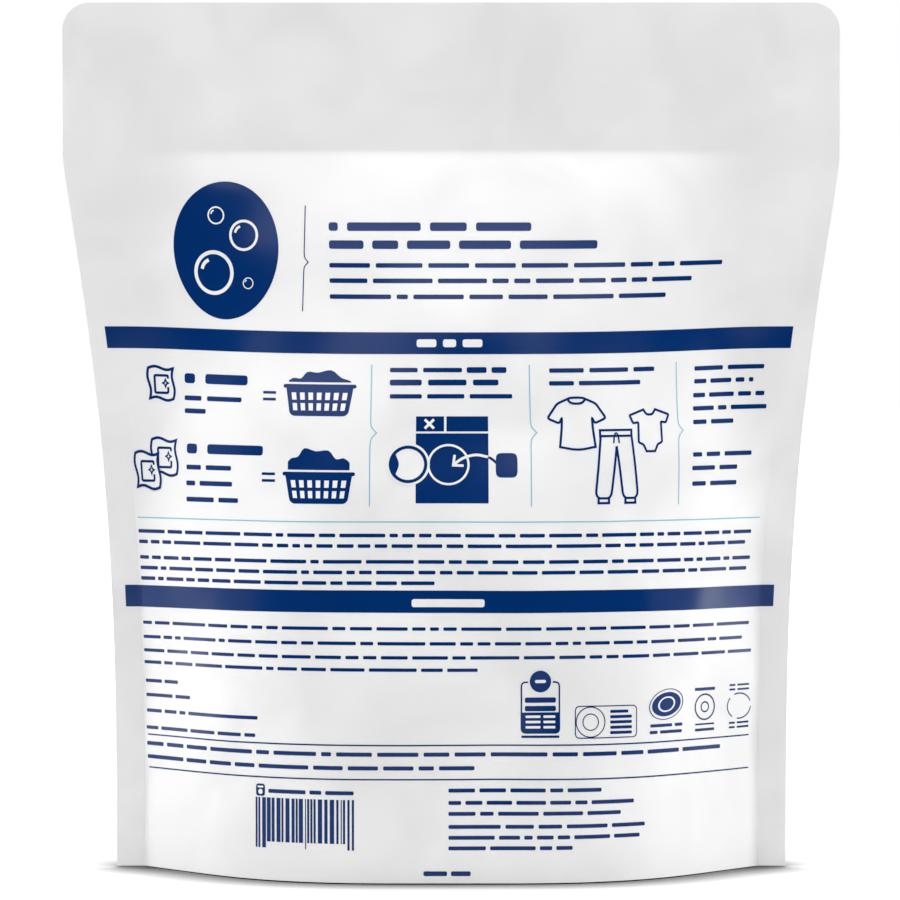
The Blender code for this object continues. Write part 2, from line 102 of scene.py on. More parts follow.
class PouchColours(PropertyGroup):
    """Colours of the film, the inks and the studio."""

    film: colour_property("Film", "White of the film", (0.80, 0.80, 0.80))
    navy: colour_property("Navy", "Dark ink", (0.0, 0.025, 0.135))
    sky: colour_property("Sky", "Pale blue ink of the thin rules", (0.22, 0.50, 0.68))
    floor: colour_property("Floor", "Pale studio floor", (0.80, 0.80, 0.80))


# Shape of the bulge, as shares of the section's half arc and of the body's height
FLAT_FRONT_SHARE = 0.1
FLANK_START_SHARE = 0.8
BULGE_HEIGHT_POWER = 2.75
BULGE_ONSET_POWER = 0.6
SHOULDER_POWER = 3.3

# How the flanks lie back down at the seal, for the width and for the depth of a section:
# the share of the half arc that does so, and the height shares where it starts and is full
WIDTH_EASE = (0.3, 0.55, 0.85)
DEPTH_EASE = (0.2, 0.25, 0.9)

# How the panels lean in towards each other: the share of depth lost at the header, and how late
LEAN_SHARE = 0.43
LEAN_POWER = 2.3

# Waves over the packs inside: their counts and starts, and the height shares where they fade
DENTS_ACROSS, DENTS_ACROSS_START = 2.1, 0.15
DENTS_UP, DENTS_UP_START = 2.7, 0.4
SLANT_ACROSS, SLANT_UP, SLANT_SHARE = 3.7, 2.9, 0.6
DENTS_FADE_FOOT, DENTS_FADE_TOP = 0.2, 0.12

# Base gusset: the flat share behind the skirt, the powers of its rise, and its steps
GUSSET_FLAT_SHARE = 0.72
GUSSET_TENT_POWER = 1.25
GUSSET_RISE_POWER = 1.3
GUSSET_FLAT_STEPS, GUSSET_TENT_STEPS = 8, 11
POCKET_END_INSET = 1.3 * MM
SKIRT_LIFT = 0.35 * MM

# How far the print hangs: sines up the body, each with its count of half waves and its size
PRINT_SAG_WAVES = ((2, -1.07 * MM), (3, 0.39 * MM))

# Soft ripples: how many, their shortest pitch, the longest as a multiple, the growth of their
# phases, and the heights over which they are calm and fade in beside the header's line and the foot
RIPPLE_COUNT = 11
RIPPLE_SHORTEST = 18.0 * MM
RIPPLE_SPREAD = 4.0
RIPPLE_PHASE = 1.7
HEADER_CALM, HEADER_FADE, BODY_FADE = 2.0 * MM, 8.0 * MM, 12.0 * MM
GOLDEN_ANGLE = math.pi * (3 - math.sqrt(5))

# Sampling of the film and of the print
ARC_SAMPLES = 64
FILM_STEP = 1.9 * MM
SHOULDER_STEP = 0.3 * MM
SHOULDER_GROWTH = 1.35
SEAL_COLUMNS = 5
PLACE_DIGITS = 7
CORNER_ROWS = 9
CORNER_CLEARANCE = 0.5 * MM
SHARP_ANGLE = math.radians(24)
PRINT_STEP = 1.6 * MM
BAR_END_STEPS = 4
WELD_DISTANCE = 0.004 * MM
TINY = 1e-6

# How far each layer of ink stands off the one below: layer 1 lies on the film
INK_LIFT = 0.05 * MM

# Finish of the film: clouds in its gloss and as painted mottled shade in its tone, and the tooth of its
# surface
CLOUD_SCALE, CLOUD_DETAIL, CLOUD_TWIST = 27.0, 2.0, 0.8
PAINTED_MOTTLE_SPREAD = (0.34, 0.66)
PAINTED_MOTTLE_TONES = (0.945, 1.035)
FILM_ROUGHNESS = (0.38, 0.46)
TOOTH_SCALE, TOOTH_STRENGTH, TOOTH_DEPTH = 1400.0, 0.08, 0.1 * MM

# Finish of the inks
DENSITY_SCALE = 60.0
DENSITY_TONES = (0.94, 1.0)
INK_ROUGHNESS = 0.2
INK_SPECULAR = 0.2


def smooth(value):
    """Ease from 0 to 1 with level ends: 3 x squared less 2 x cubed."""
    held = np.clip(value, 0, 1)
    return held * held * (3 - 2 * held)


class Film:
    """The panels of the filled pouch as surfaces over film coordinates."""

    def __init__(self, sizes):
        self.sizes = sizes
        self.body_height = sizes.height - sizes.header
        self.half_width = sizes.film_width / 2
        self.half_arc = self.half_width - sizes.side_seal
        self.half_seal = sizes.seal_thickness / 2
        self.across = sizes.film_width / SHEET_WIDTH
        self.up = self.body_height / SHEET_HEIGHT

    def flank_angle(self, z):
        """Steepest turn at height z: the base's angle, times one less the height share to a power.

        The drop below the header grows as a power mean with the radius, so the bend starts softly.
        """
        radius = self.sizes.shoulder_radius
        power = SHOULDER_POWER
        below = np.clip(self.body_height - z, 0, self.body_height)
        rounded = (below ** power + radius ** power) ** (1 / power) - radius
        whole = (self.body_height ** power + radius ** power) ** (1 / power) - radius
        height_share = np.clip(1 - rounded / whole, 0, 1)
        return self.sizes.flank_angle * (1 - height_share ** BULGE_HEIGHT_POWER) ** BULGE_ONSET_POWER

    def turn(self, share, height_share, ease):
        """Share of the flank angle along the half arc, where eased flanks lie back down at the seal."""
        reach, low, high = ease
        ramp = smooth((share - FLAT_FRONT_SHARE) / (FLANK_START_SHARE - FLAT_FRONT_SHARE))
        level = smooth((share - (1 - reach)) / reach)
        return ramp * (1 - smooth((height_share - low) / (high - low)) * level)

    def section(self, u, z):
        """Half chord and depth of film points along the section at height z.

        The tangent turns by the flank angle times turn(). The chord is the integral of its
        cosine and the depth that of its sine, both by the midpoint rule.
        """
        share = np.clip(np.abs(u) / self.half_arc, 0, 1)[..., None]
        along = self.half_arc * share[..., 0]
        angle = self.flank_angle(z)[..., None]
        up = (z / self.body_height)[..., None]
        samples = (np.arange(ARC_SAMPLES) + 0.5) / ARC_SAMPLES
        plain = np.cos(angle * self.turn(samples, 0, WIDTH_EASE)).mean(-1)
        eased = np.cos(angle * self.turn(samples, up, WIDTH_EASE)).mean(-1)
        chord = along * np.cos(angle * self.turn(share * samples, up, WIDTH_EASE)).mean(-1) * plain / eased
        whole_depth = self.half_arc * np.sin(angle * self.turn(samples, up, DEPTH_EASE)).mean(-1)
        depth = whole_depth - along * np.sin(angle * self.turn(share * samples, up, DEPTH_EASE)).mean(-1)
        lean = 1 - LEAN_SHARE * np.clip(up[..., 0], 0, 1) ** LEAN_POWER
        return chord, depth * lean, whole_depth * lean

    def dents(self, u, z, fullness):
        """Shallow waves from the packs inside: a product of two sines and a slanted sine.

        They fade out towards the foot and the header.
        """
        across = u / self.sizes.film_width
        up = z / self.sizes.height
        wide = np.sin(math.tau * (DENTS_ACROSS * across + DENTS_ACROSS_START))
        high = np.sin(math.tau * (DENTS_UP * up + DENTS_UP_START))
        slanted = np.sin(math.tau * (SLANT_ACROSS * across - SLANT_UP * up)) * SLANT_SHARE
        foot = smooth(z / (self.body_height * DENTS_FADE_FOOT))
        top = smooth((self.body_height - z) / (self.body_height * DENTS_FADE_TOP))
        return self.sizes.dent_depth * fullness * foot * top * (wide * high + slanted)

    def ripples(self, u, v):
        """Soft unevenness of the film: sines in many directions, each as deep as its pitch is long."""
        index = np.arange(RIPPLE_COUNT)
        heading = index * GOLDEN_ANGLE
        pitch = RIPPLE_SHORTEST * RIPPLE_SPREAD ** (index / (RIPPLE_COUNT - 1))
        along = u[..., None] * np.cos(heading) + v[..., None] * np.sin(heading)
        waves = (np.sin(math.tau * along / pitch + RIPPLE_PHASE * index ** 2) * pitch).sum(-1) / pitch.sum()
        header = smooth((v - self.body_height - HEADER_CALM) / HEADER_FADE)
        body = smooth((self.body_height - v) / BODY_FADE) * smooth(v / BODY_FADE)
        return waves * (self.sizes.header_ripple * header + self.sizes.body_ripple * body)

    def print_sag(self, v):
        """How far the print hangs lower in the middle than at the seals: two sines up the body."""
        share = np.clip(v / self.body_height, 0, 1)
        return sum(size * np.sin(waves * math.pi * share) for waves, size in PRINT_SAG_WAVES)

    def place(self, u, v, facing=-1, lift=0.0):
        """World places of film coordinates on one panel: the section at z, raised by lift."""
        _, seam_depth, seam_whole = self.section(u, v)
        fullness = seam_depth / np.maximum(seam_whole, MM * MM)
        z = np.where(v < self.body_height, v - self.print_sag(v) * fullness, v)
        chord, depth, _ = self.section(u, z)
        seal = np.clip(np.abs(u) - self.half_arc, 0, None)
        x = np.sign(u) * (chord + seal)
        bulge = np.maximum(depth + self.dents(u, z, fullness), 0)
        bulge = np.where(np.abs(u) < self.half_arc, bulge, 0)
        y = facing * (self.half_seal + bulge + lift) - self.ripples(u, v)
        z = z + SKIRT_LIFT * (1 - smooth(v / self.sizes.skirt))
        return np.stack([x, y, z], axis=-1)

    def base_depth(self):
        """Depth of one panel in the middle of the base."""
        return float(self.section(np.zeros(1), np.zeros(1))[1][0])

    def columns(self):
        """Film columns from edge to edge, with one on each seal's inner edge."""
        count = 2 * round(self.half_arc / FILM_STEP)
        body = np.linspace(-self.half_arc, self.half_arc, count + 1)
        seal = np.linspace(self.half_arc, self.half_width, SEAL_COLUMNS + 1)[1:]
        ends = np.array([-1, 1]) * (self.half_arc - POCKET_END_INSET)
        return np.unique(np.concatenate([-seal, body, ends, seal]).round(PLACE_DIGITS))

    def rows(self):
        """Film rows from the bottom edge up, closer under the header and round the top corners."""
        shoulder = [self.body_height]
        step = SHOULDER_STEP
        while step < FILM_STEP:
            shoulder.append(shoulder[-1] - step)
            step *= SHOULDER_GROWTH
        low = shoulder[-1]
        body = np.linspace(0, low, round(low / FILM_STEP) + 1)
        radius = self.sizes.corner_radius
        corner_foot = self.sizes.height - radius
        steps = round((corner_foot - self.body_height) / FILM_STEP)
        header = np.linspace(self.body_height, corner_foot, steps + 1)
        turn = np.linspace(0, math.pi / 2, CORNER_ROWS + 1)[1:]
        corner = corner_foot + radius * np.sin(turn)
        return np.concatenate([body[:-1], shoulder[::-1], header[1:], corner])


def quads_of(index):
    """Corner indices of the quads between the rows and columns of a grid of vertex indices."""
    corners = [index[:-1, :-1], index[:-1, 1:], index[1:, 1:], index[1:, :-1]]
    return np.stack(corners, axis=-1).reshape(-1, 4)


def grid_faces(rows, columns, first=0):
    """The quads of a grid whose rows run upwards and columns to the right."""
    return quads_of(first + np.arange(rows * columns).reshape(rows, columns))


def mesh_object(name, verts, faces):
    """A smooth mesh object at the origin from arrays of places and of quads."""
    mesh = bpy.data.meshes.new(name)
    mesh.vertices.add(len(verts))
    mesh.vertices.foreach_set("co", np.asarray(verts, dtype=np.float32).ravel())
    mesh.loops.add(faces.size)
    mesh.loops.foreach_set("vertex_index", faces.astype(np.int32).ravel())
    mesh.polygons.add(len(faces))
    mesh.polygons.foreach_set("loop_start", np.arange(0, faces.size, faces.shape[1], dtype=np.int32))
    mesh.update(calc_edges=True)
    mesh.validate()
    mesh.shade_smooth()
    piece = bpy.data.objects.new(name, mesh)
    bpy.context.scene.collection.objects.link(piece)
    return piece


def film_shell(film):
    """The whole film as one closed surface: two panels, their rim, the skirt and the gusset.

    Round the top corners the sheet's half width follows a circle, and its columns close up evenly.
    """
    rows, columns = film.rows(), film.columns()
    u, v = np.meshgrid(columns, rows)
    radius = film.sizes.corner_radius
    above = np.clip(v - (film.sizes.height - radius), 0, radius)
    narrowed = film.half_width - radius + np.sqrt(radius ** 2 - above ** 2)
    beyond = np.clip(np.abs(u) - film.half_arc, 0, None) / film.sizes.side_seal
    reach = np.minimum(film.half_arc, narrowed - CORNER_CLEARANCE)
    inside = np.abs(u) * reach / film.half_arc
    u = np.sign(u) * np.where(beyond > 0, reach + beyond * (narrowed - reach), inside)
    front = film.place(u, v, -1)
    back = film.place(u, v, 1)
    high, wide = u.shape
    count = high * wide
    faces = [grid_faces(high, wide), grid_faces(high, wide, count)[:, ::-1]]
    left = np.arange(high) * wide
    right = left + wide - 1
    top = count - wide + np.arange(wide)
    for edge, turned in ((left, True), (right, False), (top, True)):
        strip = quads_of(np.stack([edge, edge + count], axis=1))
        faces.append(strip[:, ::-1] if turned else strip)
    under_verts, under_faces = gusset_grid(film, front[0], columns, wide, count)
    verts = [front.reshape(-1, 3), back.reshape(-1, 3), under_verts]
    return np.concatenate(verts), np.concatenate(faces + [under_faces])


def gusset_grid(film, rim, columns, wide, count):
    """Rows of points under each base column, from the front skirt's foot to the back skirt's foot.

    Across the pouch the gusset rises as the distance from the skirt to a power, times the
    fold's height, which grows as a sine from the flat floor patch to the end of the pocket.
    """
    sizes = film.sizes
    x = rim[:, 0]
    reach = -rim[:, 1]
    pocket = film.half_arc - POCKET_END_INSET
    pocket_end = np.abs(x)[np.abs(np.abs(columns) - pocket) < TINY].max()
    start = sizes.floor_patch / 2
    share = np.clip((np.abs(x) - start) / (pocket_end - start), 0, 1)
    rise = (film.base_depth() + sizes.skirt) * np.sin(share * math.pi / 2) ** GUSSET_RISE_POWER
    step = np.concatenate([np.linspace(1, GUSSET_FLAT_SHARE, GUSSET_FLAT_STEPS),
                           np.linspace(GUSSET_FLAT_SHARE, 0, GUSSET_TENT_STEPS)[1:]])
    lip = sizes.skirt * smooth((step - GUSSET_FLAT_SHARE) / (1 - GUSSET_FLAT_SHARE))
    inner = reach - sizes.skirt_thickness
    half_y = np.concatenate([-inner[:, None], -inner[:, None] * step], axis=1)
    half_z = np.concatenate([rim[:, 2:], lip + rise[:, None] * (1 - step) ** GUSSET_TENT_POWER], axis=1)
    y = np.concatenate([half_y, -half_y[:, -2::-1]], axis=1)
    z = np.concatenate([half_z, half_z[:, -2::-1]], axis=1)
    inside = y.shape[1]
    closed = np.abs(columns) > pocket + TINY
    even = (np.arange(inside) + 1) / (inside + 1)
    y[closed] = -film.half_seal + sizes.seal_thickness * even
    z[closed] = SKIRT_LIFT
    places = np.stack([np.broadcast_to(x[:, None], y.shape), y, z], axis=-1).reshape(-1, 3)
    inner_index = 2 * count + np.arange(wide * inside).reshape(wide, inside)
    front = np.arange(wide)[:, None]
    return places, quads_of(np.concatenate([front, inner_index, front + count], axis=1))


def bar(left, right, v, height, radius=None):
    """Film coordinates of a bar with round corners: its half height follows a circle at each end."""
    radius = height / 2 if radius is None else radius
    count = max(2, math.ceil((right - left) * MM / PRINT_STEP))
    bend = radius * (1 - np.cos(np.linspace(0, math.pi / 2, BAR_END_STEPS)))
    middle = np.linspace(left + radius, right - radius, count)
    u = np.concatenate([left + bend[:-1], middle, right - bend[-2::-1]])
    near = np.clip(np.minimum(u - left, right - u), 0, radius)
    half = height / 2 - radius + np.sqrt(np.clip(radius ** 2 - (radius - near) ** 2, 0, None))
    return np.stack([u, u]), np.stack([v - half, v + half])


def round_patch(centre, width, height, hollow=0.0, power=2.0, lean=0.0, corners=48):
    """Film coordinates of a disc or ring: rings of a superellipse, leant as u plus a share of v."""
    angle = np.linspace(0, math.tau, corners + 1)
    cosine, sine = np.cos(angle), np.sin(angle)
    reach = (np.abs(cosine) ** power + np.abs(sine) ** power) ** (-1 / power)
    rings = max(2, math.ceil((1 - hollow) * max(width, height) * MM / (2 * PRINT_STEP)) + 1)
    t = np.linspace(1, hollow, rings)[:, None]
    up = height / 2 * t * sine * reach
    return centre[0] + width / 2 * t * cosine * reach + lean * up, centre[1] + up


def ring(centre, width, height, line, lean=0.0):
    """A ring whose line is even in width across, as a hollow round patch."""
    return round_patch(centre, width, height, 1 - 2 * line / width, lean=lean)


def grid_patch(left, bottom, right, top):
    """Film coordinates of a rectangle as a grid with even steps."""
    wide, high = (max(2, math.ceil(size * MM / PRINT_STEP) + 1) for size in (right - left, top - bottom))
    return np.meshgrid(np.linspace(left, right, wide), np.linspace(bottom, top, high))


def arc(centre, wide, high, start, end, steps):
    """A path on an ellipse: half its width and height times the cosine and sine of the angle."""
    angle = np.radians(np.linspace(start, end, steps))
    return np.stack([wide * np.cos(angle), high * np.sin(angle)], axis=1) + centre


def evenly(path):
    """A path with more points along its long straights, so that it can follow the film.

    They stand at even steps of its length, on the straight line between its own points.
    """
    path = np.asarray(path, dtype=float)
    gap = np.linalg.norm(np.diff(path, axis=0), axis=1)
    path = path[np.concatenate([[True], gap > TINY])]
    reach = np.concatenate([[0], np.cumsum(gap[gap > TINY])])
    fine = np.unique(np.concatenate([reach, np.arange(0, reach[-1], PRINT_STEP / MM)]))
    return np.stack([np.interp(fine, reach, path[:, k]) for k in (0, 1)], axis=1)


def filled(path):
    """Film coordinates of a star-shaped closed path: rings shrunk towards its middle."""
    path = evenly(np.concatenate([path, path[:1]]))
    centre = (path.max(0) + path.min(0)) / 2
    rings = max(2, math.ceil(np.ptp(path, axis=0).max() * MM / (2 * PRINT_STEP)) + 1)
    t = np.linspace(0, 1, rings)[:, None, None]
    places = path + (centre - path) * t
    return places[..., 0], places[..., 1]


def curved(points, closed=False, steps=5):
    """A smooth path through points: Catmull-Rom cubics between neighbours."""
    points = np.array(points, dtype=float)
    if closed:
        points = np.concatenate([points[-1:], points, points[:2]])
    else:
        points = np.concatenate([2 * points[:1] - points[1:2], points, 2 * points[-1:] - points[-2:-1]])
    neighbours = (points[:-3], points[1:-2], points[2:-1], points[3:])
    before, start, end, after = (point[:, None] for point in neighbours)
    t = (np.arange(steps) / steps)[None, :, None]
    path = (start + t * (end - before) / 2 + t ** 2 * (before - 2.5 * start + 2 * end - after / 2)
            + t ** 3 * (1.5 * (start - end) + (after - before) / 2))
    path = path.reshape(-1, 2)
    return path if closed else np.concatenate([path, end[-1]])


def rounded(points, radius, steps=5):
    """An open polyline whose inner corners become quadratic curves."""
    corners = np.array(points, dtype=float)
    middle, before, after = corners[1:-1], corners[:-2], corners[2:]

    def towards(other):
        gap = other - middle
        length = np.linalg.norm(gap, axis=1, keepdims=True)
        return (middle + gap / length * np.minimum(radius, length * CURVE_SHARE))[:, None]

    t = np.linspace(0, 1, steps)[None, :, None]
    curve = towards(before) * (1 - t) ** 2 + middle[:, None] * 2 * t * (1 - t) + towards(after) * t ** 2
    return np.concatenate([corners[:1], curve.reshape(-1, 2), corners[-1:]])


def rounded_box(left, bottom, right, top, radius):
    """A closed rectangle path with round corners."""
    points = [((left + right) / 2, bottom), (right, bottom), (right, top), (left, top), (left, bottom),
              ((left + right) / 2, bottom)]
    return rounded(points, radius)[:-1]


def in_box(points, left, bottom, right, top):
    """Points of a unit square carried to a box."""
    return np.array(points, dtype=float) * (right - left, top - bottom) + (left, bottom)


def mirrored(path, width=1.0):
    """A path's mirror image about the middle of a width."""
    return np.array(path, dtype=float) * (-1, 1) + (width, 0)


def unit(vectors):
    """Each vector divided by its length."""
    return vectors / np.maximum(np.linalg.norm(vectors, axis=1, keepdims=True), TINY)


def stroke(path, width, closed=False):
    """Film coordinates of a line of even width carried along a path, mitred where the path turns."""
    path = np.asarray(path, dtype=float)
    if closed:
        path = np.concatenate([path, path[:1]])
    path = evenly(path)
    ahead = unit(np.diff(path, axis=0))
    first, last = (ahead[-1:], ahead[:1]) if closed else (ahead[:1], ahead[-1:])
    before, after = np.concatenate([first, ahead]), np.concatenate([ahead, last])
    tangent = unit(before + after)
    mitre = width / 2 / np.clip((tangent * after).sum(1), MITRE_LIMIT, 1)
    side = np.stack([-tangent[:, 1], tangent[:, 0]], axis=1) * mitre[:, None]
    edges = np.stack([path - side, path + side])
    return edges[..., 0], edges[..., 1]


def boxed(path, box, width, closed=False):
    """A line of even width along a path that is given in shares of a box."""
    return stroke(in_box(path, *box), width, closed)


def words(left, right, v, height, letters):
    """Bars in place of words: lengths in step with their letter counts, one letter of gap between."""
    letters = np.array(letters, dtype=float)
    ends = np.cumsum(letters + 1) - 1
    letter = (right - left) / ends[-1]
    return [bar(left + (end - count) * letter, left + end * letter, v, height, height * WORD_CORNER_SHARE)
            for count, end in zip(letters, ends)]


def word_lines(lines):
    """The bars of several lines of words. One row of the table can stand for several heights."""
    return [shape for left, right, places, height, letters in lines for v in np.atleast_1d(places)
            for shape in words(left, right, v, height, letters)]


def any_words(draw, left, right, v, height, letter_width):
    """A line of words with drawn letter counts that fills its length."""
    counts = []
    while sum(counts) + len(counts) < (right - left) / letter_width:
        counts.append(draw.choice(WORD_LENGTHS))
    return words(left, right, v, height, counts)


def layered(shapes, layer=1):
    """The same layer of ink for several shapes."""
    return [(shape, layer) for shape in shapes]


def ink_piece(name, film, shapes, material):
    """One printed piece: shapes on the flat sheet in mm, each on a layer of ink, fitted to the film."""
    verts, faces = [], []
    first = 0
    for (u, v), layer in shapes:
        u, v = np.broadcast_arrays(u, v)
        quads = grid_faces(*u.shape)
        corners = np.stack([u.ravel(), v.ravel()], axis=1)[quads]
        across, up = corners[:, 2] - corners[:, 0], corners[:, 3] - corners[:, 1]
        if (across[:, 0] * up[:, 1] - across[:, 1] * up[:, 0]).sum() < 0:
            quads = quads[:, ::-1]
        verts.append(film.place(u * film.across, v * film.up, -1, INK_LIFT * layer).reshape(-1, 3))
        faces.append(quads + first)
        first += u.size
    piece = mesh_object(name, np.concatenate(verts), np.concatenate(faces))
    close_poles(piece.data)
    piece.data.materials.append(material)
    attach(piece, BODY)


def close_poles(mesh):
    """Join the corners that meet in one place, such as a disc's middle or a closed line's ends."""
    work = bmesh.new()
    work.from_mesh(mesh)
    bmesh.ops.remove_doubles(work, verts=work.verts, dist=WELD_DISTANCE)
    work.to_mesh(mesh)
    work.free()
    mesh.shade_smooth()


def new_material(name):
    """A material with its node tree and its Principled shader."""
    material = bpy.data.materials.new(name)
    material.use_nodes = True
    return material, material.node_tree, material.node_tree.nodes["Principled BSDF"]


def join(tree, node, sockets):
    """Set a node's sockets: another node's socket is linked to, and any other value is its own."""
    for key, value in sockets.items():
        if isinstance(value, bpy.types.NodeSocket):
            tree.links.new(value, node.inputs[key])
        else:
            node.inputs[key].default_value = value


def add_node(tree, kind, output, sockets=None, **settings):
    """One output of a new node whose settings and sockets are given."""
    node = tree.nodes.new("ShaderNode" + kind)
    for key, value in settings.items():
        setattr(node, key, value)
    join(tree, node, sockets or {})
    return node.outputs[output]


def ranged(tree, value, start, end, low=0.0, high=1.0, easing="LINEAR"):
    """A socket that goes from low to high while a value goes from start to end."""
    sockets = {"Value": value, "From Min": start, "From Max": end, "To Min": low, "To Max": high}
    return add_node(tree, "MapRange", "Result", sockets, interpolation_type=easing)


def toned(tree, share, colour, low, high):
    """A colour socket between two strengths of one colour."""
    weak, full = ((*(part * strength for part in colour), 1) for strength in (low, high))
    return add_node(tree, "Mix", "Result", {"Factor": share, "A": weak, "B": full}, data_type="RGBA")


def film_material(name, colour):
    """Satin white film: fine tooth in the bump, faint clouds in its gloss and painted mottled shade in its
    tone.
    """
    material, tree, shader = new_material(name)
    place = add_node(tree, "TexCoord", "Object")
    clouds_of_shade_and_gloss = add_node(tree, "TexNoise", "Fac", {"Vector": place, "Scale": CLOUD_SCALE,
                                                "Detail": CLOUD_DETAIL, "Distortion": CLOUD_TWIST})
    # Painted mottled shade: the clouds lighten and darken the film's white a little
    painted_mottle = toned(tree, ranged(tree, clouds_of_shade_and_gloss, *PAINTED_MOTTLE_SPREAD), colour, *PAINTED_MOTTLE_TONES)
    gloss = ranged(tree, clouds_of_shade_and_gloss, 0.0, 1.0, *FILM_ROUGHNESS)
    tooth = add_node(tree, "TexNoise", "Fac", {"Vector": place, "Scale": TOOTH_SCALE})
    bump = add_node(tree, "Bump", "Normal", {"Height": tooth, "Strength": TOOTH_STRENGTH,
                                             "Distance": TOOTH_DEPTH})
    join(tree, shader, {"Base Color": painted_mottle, "Roughness": gloss, "Normal": bump})
    return material


def ink_material(name, colour):
    """Printed ink under the same satin finish, with faint variation in its density."""
    material, tree, shader = new_material(name)
    place = add_node(tree, "TexCoord", "Object")
    density = add_node(tree, "TexNoise", "Fac", {"Vector": place, "Scale": DENSITY_SCALE})
    join(tree, shader, {"Base Color": toned(tree, density, colour, *DENSITY_TONES),
                        "Roughness": INK_ROUGHNESS, "Specular IOR Level": INK_SPECULAR})
    return material


def current_print(context):
    """The film in the sizes that the user has set, and its white and inks, each made once."""
    colours = context.scene.pouch_colours
    finishes = {"white": ("satin_film", film_material, colours.film),
                "navy": ("navy_ink", ink_material, colours.navy),
                "sky": ("pale_blue_ink", ink_material, colours.sky)}
    inks = {}
    for key, (name, maker, colour) in finishes.items():
        inks[key] = bpy.data.materials.get(name) or maker(name, colour)
    return Film(context.scene.pouch_sizes), inks


def print_pieces(context, *pieces):
    """Print pieces that are each given by name, ink and shapes on their layers."""
    film, inks = current_print(context)
    for name, ink, shapes in pieces:
        ink_piece(name, film, shapes, inks[ink])
    return {"FINISHED"}


class POUCH_OT_film(Operator):
    """Make the film of the filled pouch as one closed shell"""

    bl_idname = "pouch.film"
    bl_label = "Film"

    def execute(self, context):
        film, inks = current_print(context)
        shell = mesh_object("film_shell", *film_shell(film))
        shell.data.set_sharp_from_angle(angle=SHARP_ANGLE)
        shell.data.materials.append(inks["white"])
        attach(shell, BODY)
        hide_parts("pouch")
        return {"FINISHED"}


# Print layout in mm on a flat sheet: u across from its middle, v up from its bottom edge.
# The sheet is fitted to the film below the header.
SHEET_WIDTH = 228.6
SHEET_HEIGHT = 212.0
THIN_LINE, RULE_LINE, ICON_LINE = 0.32, 0.416, 0.7
MITRE_LIMIT = 0.55
CURVE_SHARE = 0.49
WORD_CORNER_SHARE = 0.28
WORD_LENGTHS = (2, 3, 3, 4, 5, 6, 6, 7, 8, 9, 11)
HEADING_SEED, SMALL_PRINT_SEED, STRIPE_SEED = 11, 5, 3

# Bands: left, right and middle height, and the bars of their titles
USE_BAND_V, CONTENTS_BAND_V, CONTENTS_TITLE_V = 156.7, 80.4, 80.0
BANDS = ((-109.4, 108.1, USE_BAND_V), (-110.3, 109.4, CONTENTS_BAND_V))
BAND_HEIGHT = 6.4
BAND_STEPS, BAND_END_STEPS, BAND_ROWS = 133, 4, 5
TITLE_HEIGHT = 2.3
BAND_TITLES = ((-10.3, 9.3, USE_BAND_V, TITLE_HEIGHT, (3, 2, 3)),
               (-11.4, 9.6, CONTENTS_TITLE_V, TITLE_HEIGHT, (11,)))

# Emblem: an oval with round bubbles, each as its middle and size
EMBLEM_CENTRE = (-68.3, 182.8)
EMBLEM_WIDTH, EMBLEM_HEIGHT, EMBLEM_LEAN, EMBLEM_CORNERS = 33.3, 39.9, 0.075, 96
BUBBLES = (((-72.6, 176.4), 13.0), ((-62.2, 187.4), 9.0), ((-70.4, 193.0), 5.2), ((-61.6, 173.6), 3.4))
BUBBLE_LINE_SHARE = 0.085
SHINE_REACH, SHINE_LINE_SHARE, SHINE_ARC = 0.3, 0.9, (110, 165, 7)

# Upright brackets: left edges, then the point's depth and the heights of top, point and bottom
BRACKETS, BRACKET = (-23.6, 23.2, 69.8), (1.8, 150.3, 130.1, 108.2)
DIVIDER = (-43.9, 1.3, 196.1, 180.0, 165.8)
DIVIDER_LEAN, DIVIDER_LEAN_V = 0.05, 181.0
BRACKET_BEND, BRACKET_KNEE_OUT, BRACKET_KNEE_UP = 2.2, 0.18, 0.45

# Headings: right edge, middle height and letter counts, then the plain lines under them
HEADING_LEFT, HEADING_HEIGHT = -36.3, 2.4
HEADINGS = ((23.7, 190.2, (1, 8, 4, 6)), (43.5, 185.1, (4, 3, 5, 6, 9)))
LEAD_HEIGHT, LEAD_LETTER = 1.3, 1.75
LEAD_LINES = ((83.4, 179.2), (73.8, 174.8), (65.5, 170.2))

# Thin rules: left, right and height
PALE_RULE = (-105.2, 103.1, 103.6)
NAVY_RULES = ((-104.2, 101.6, 39.5), (-103.9, 101.6, 29.8))


def bracket(u, depth, top, tip, bottom):
    """An upright line with a soft point to the right, as a curly bracket has.

    It is a smooth curve through bend, knee and point, mirrored below the point.
    """
    bend = BRACKET_BEND * depth
    knee = (u + BRACKET_KNEE_OUT * depth, tip + BRACKET_KNEE_UP * bend)
    upper = curved([(u, tip + bend), knee, (u + depth, tip)])
    lower = upper[::-1] * (1, -1) + (0, 2 * tip)
    return np.concatenate([[(u, top)], upper, lower[1:], [(u, bottom)]])


class POUCH_OT_bands(Operator):
    """Print the two navy bands across the panel, with pale bars for their titles"""

    bl_idname = "pouch.bands"
    bl_label = "Bands"

    def execute(self, context):
        film = Film(context.scene.pouch_sizes)
        edge = film.half_arc / film.across
        up = np.linspace(-BAND_HEIGHT / 2, BAND_HEIGHT / 2, BAND_ROWS)[:, None]
        bands = []
        for left, right, v in BANDS:
            u = np.concatenate([np.linspace(left, -edge, BAND_END_STEPS),
                                np.linspace(-edge, edge, BAND_STEPS)[1:-1],
                                np.linspace(edge, right, BAND_END_STEPS)])
            bands.append((u, v + up))
        return print_pieces(context, ("bands", "navy", layered(bands)),
                            ("band_titles", "white", layered(word_lines(BAND_TITLES), 2)))


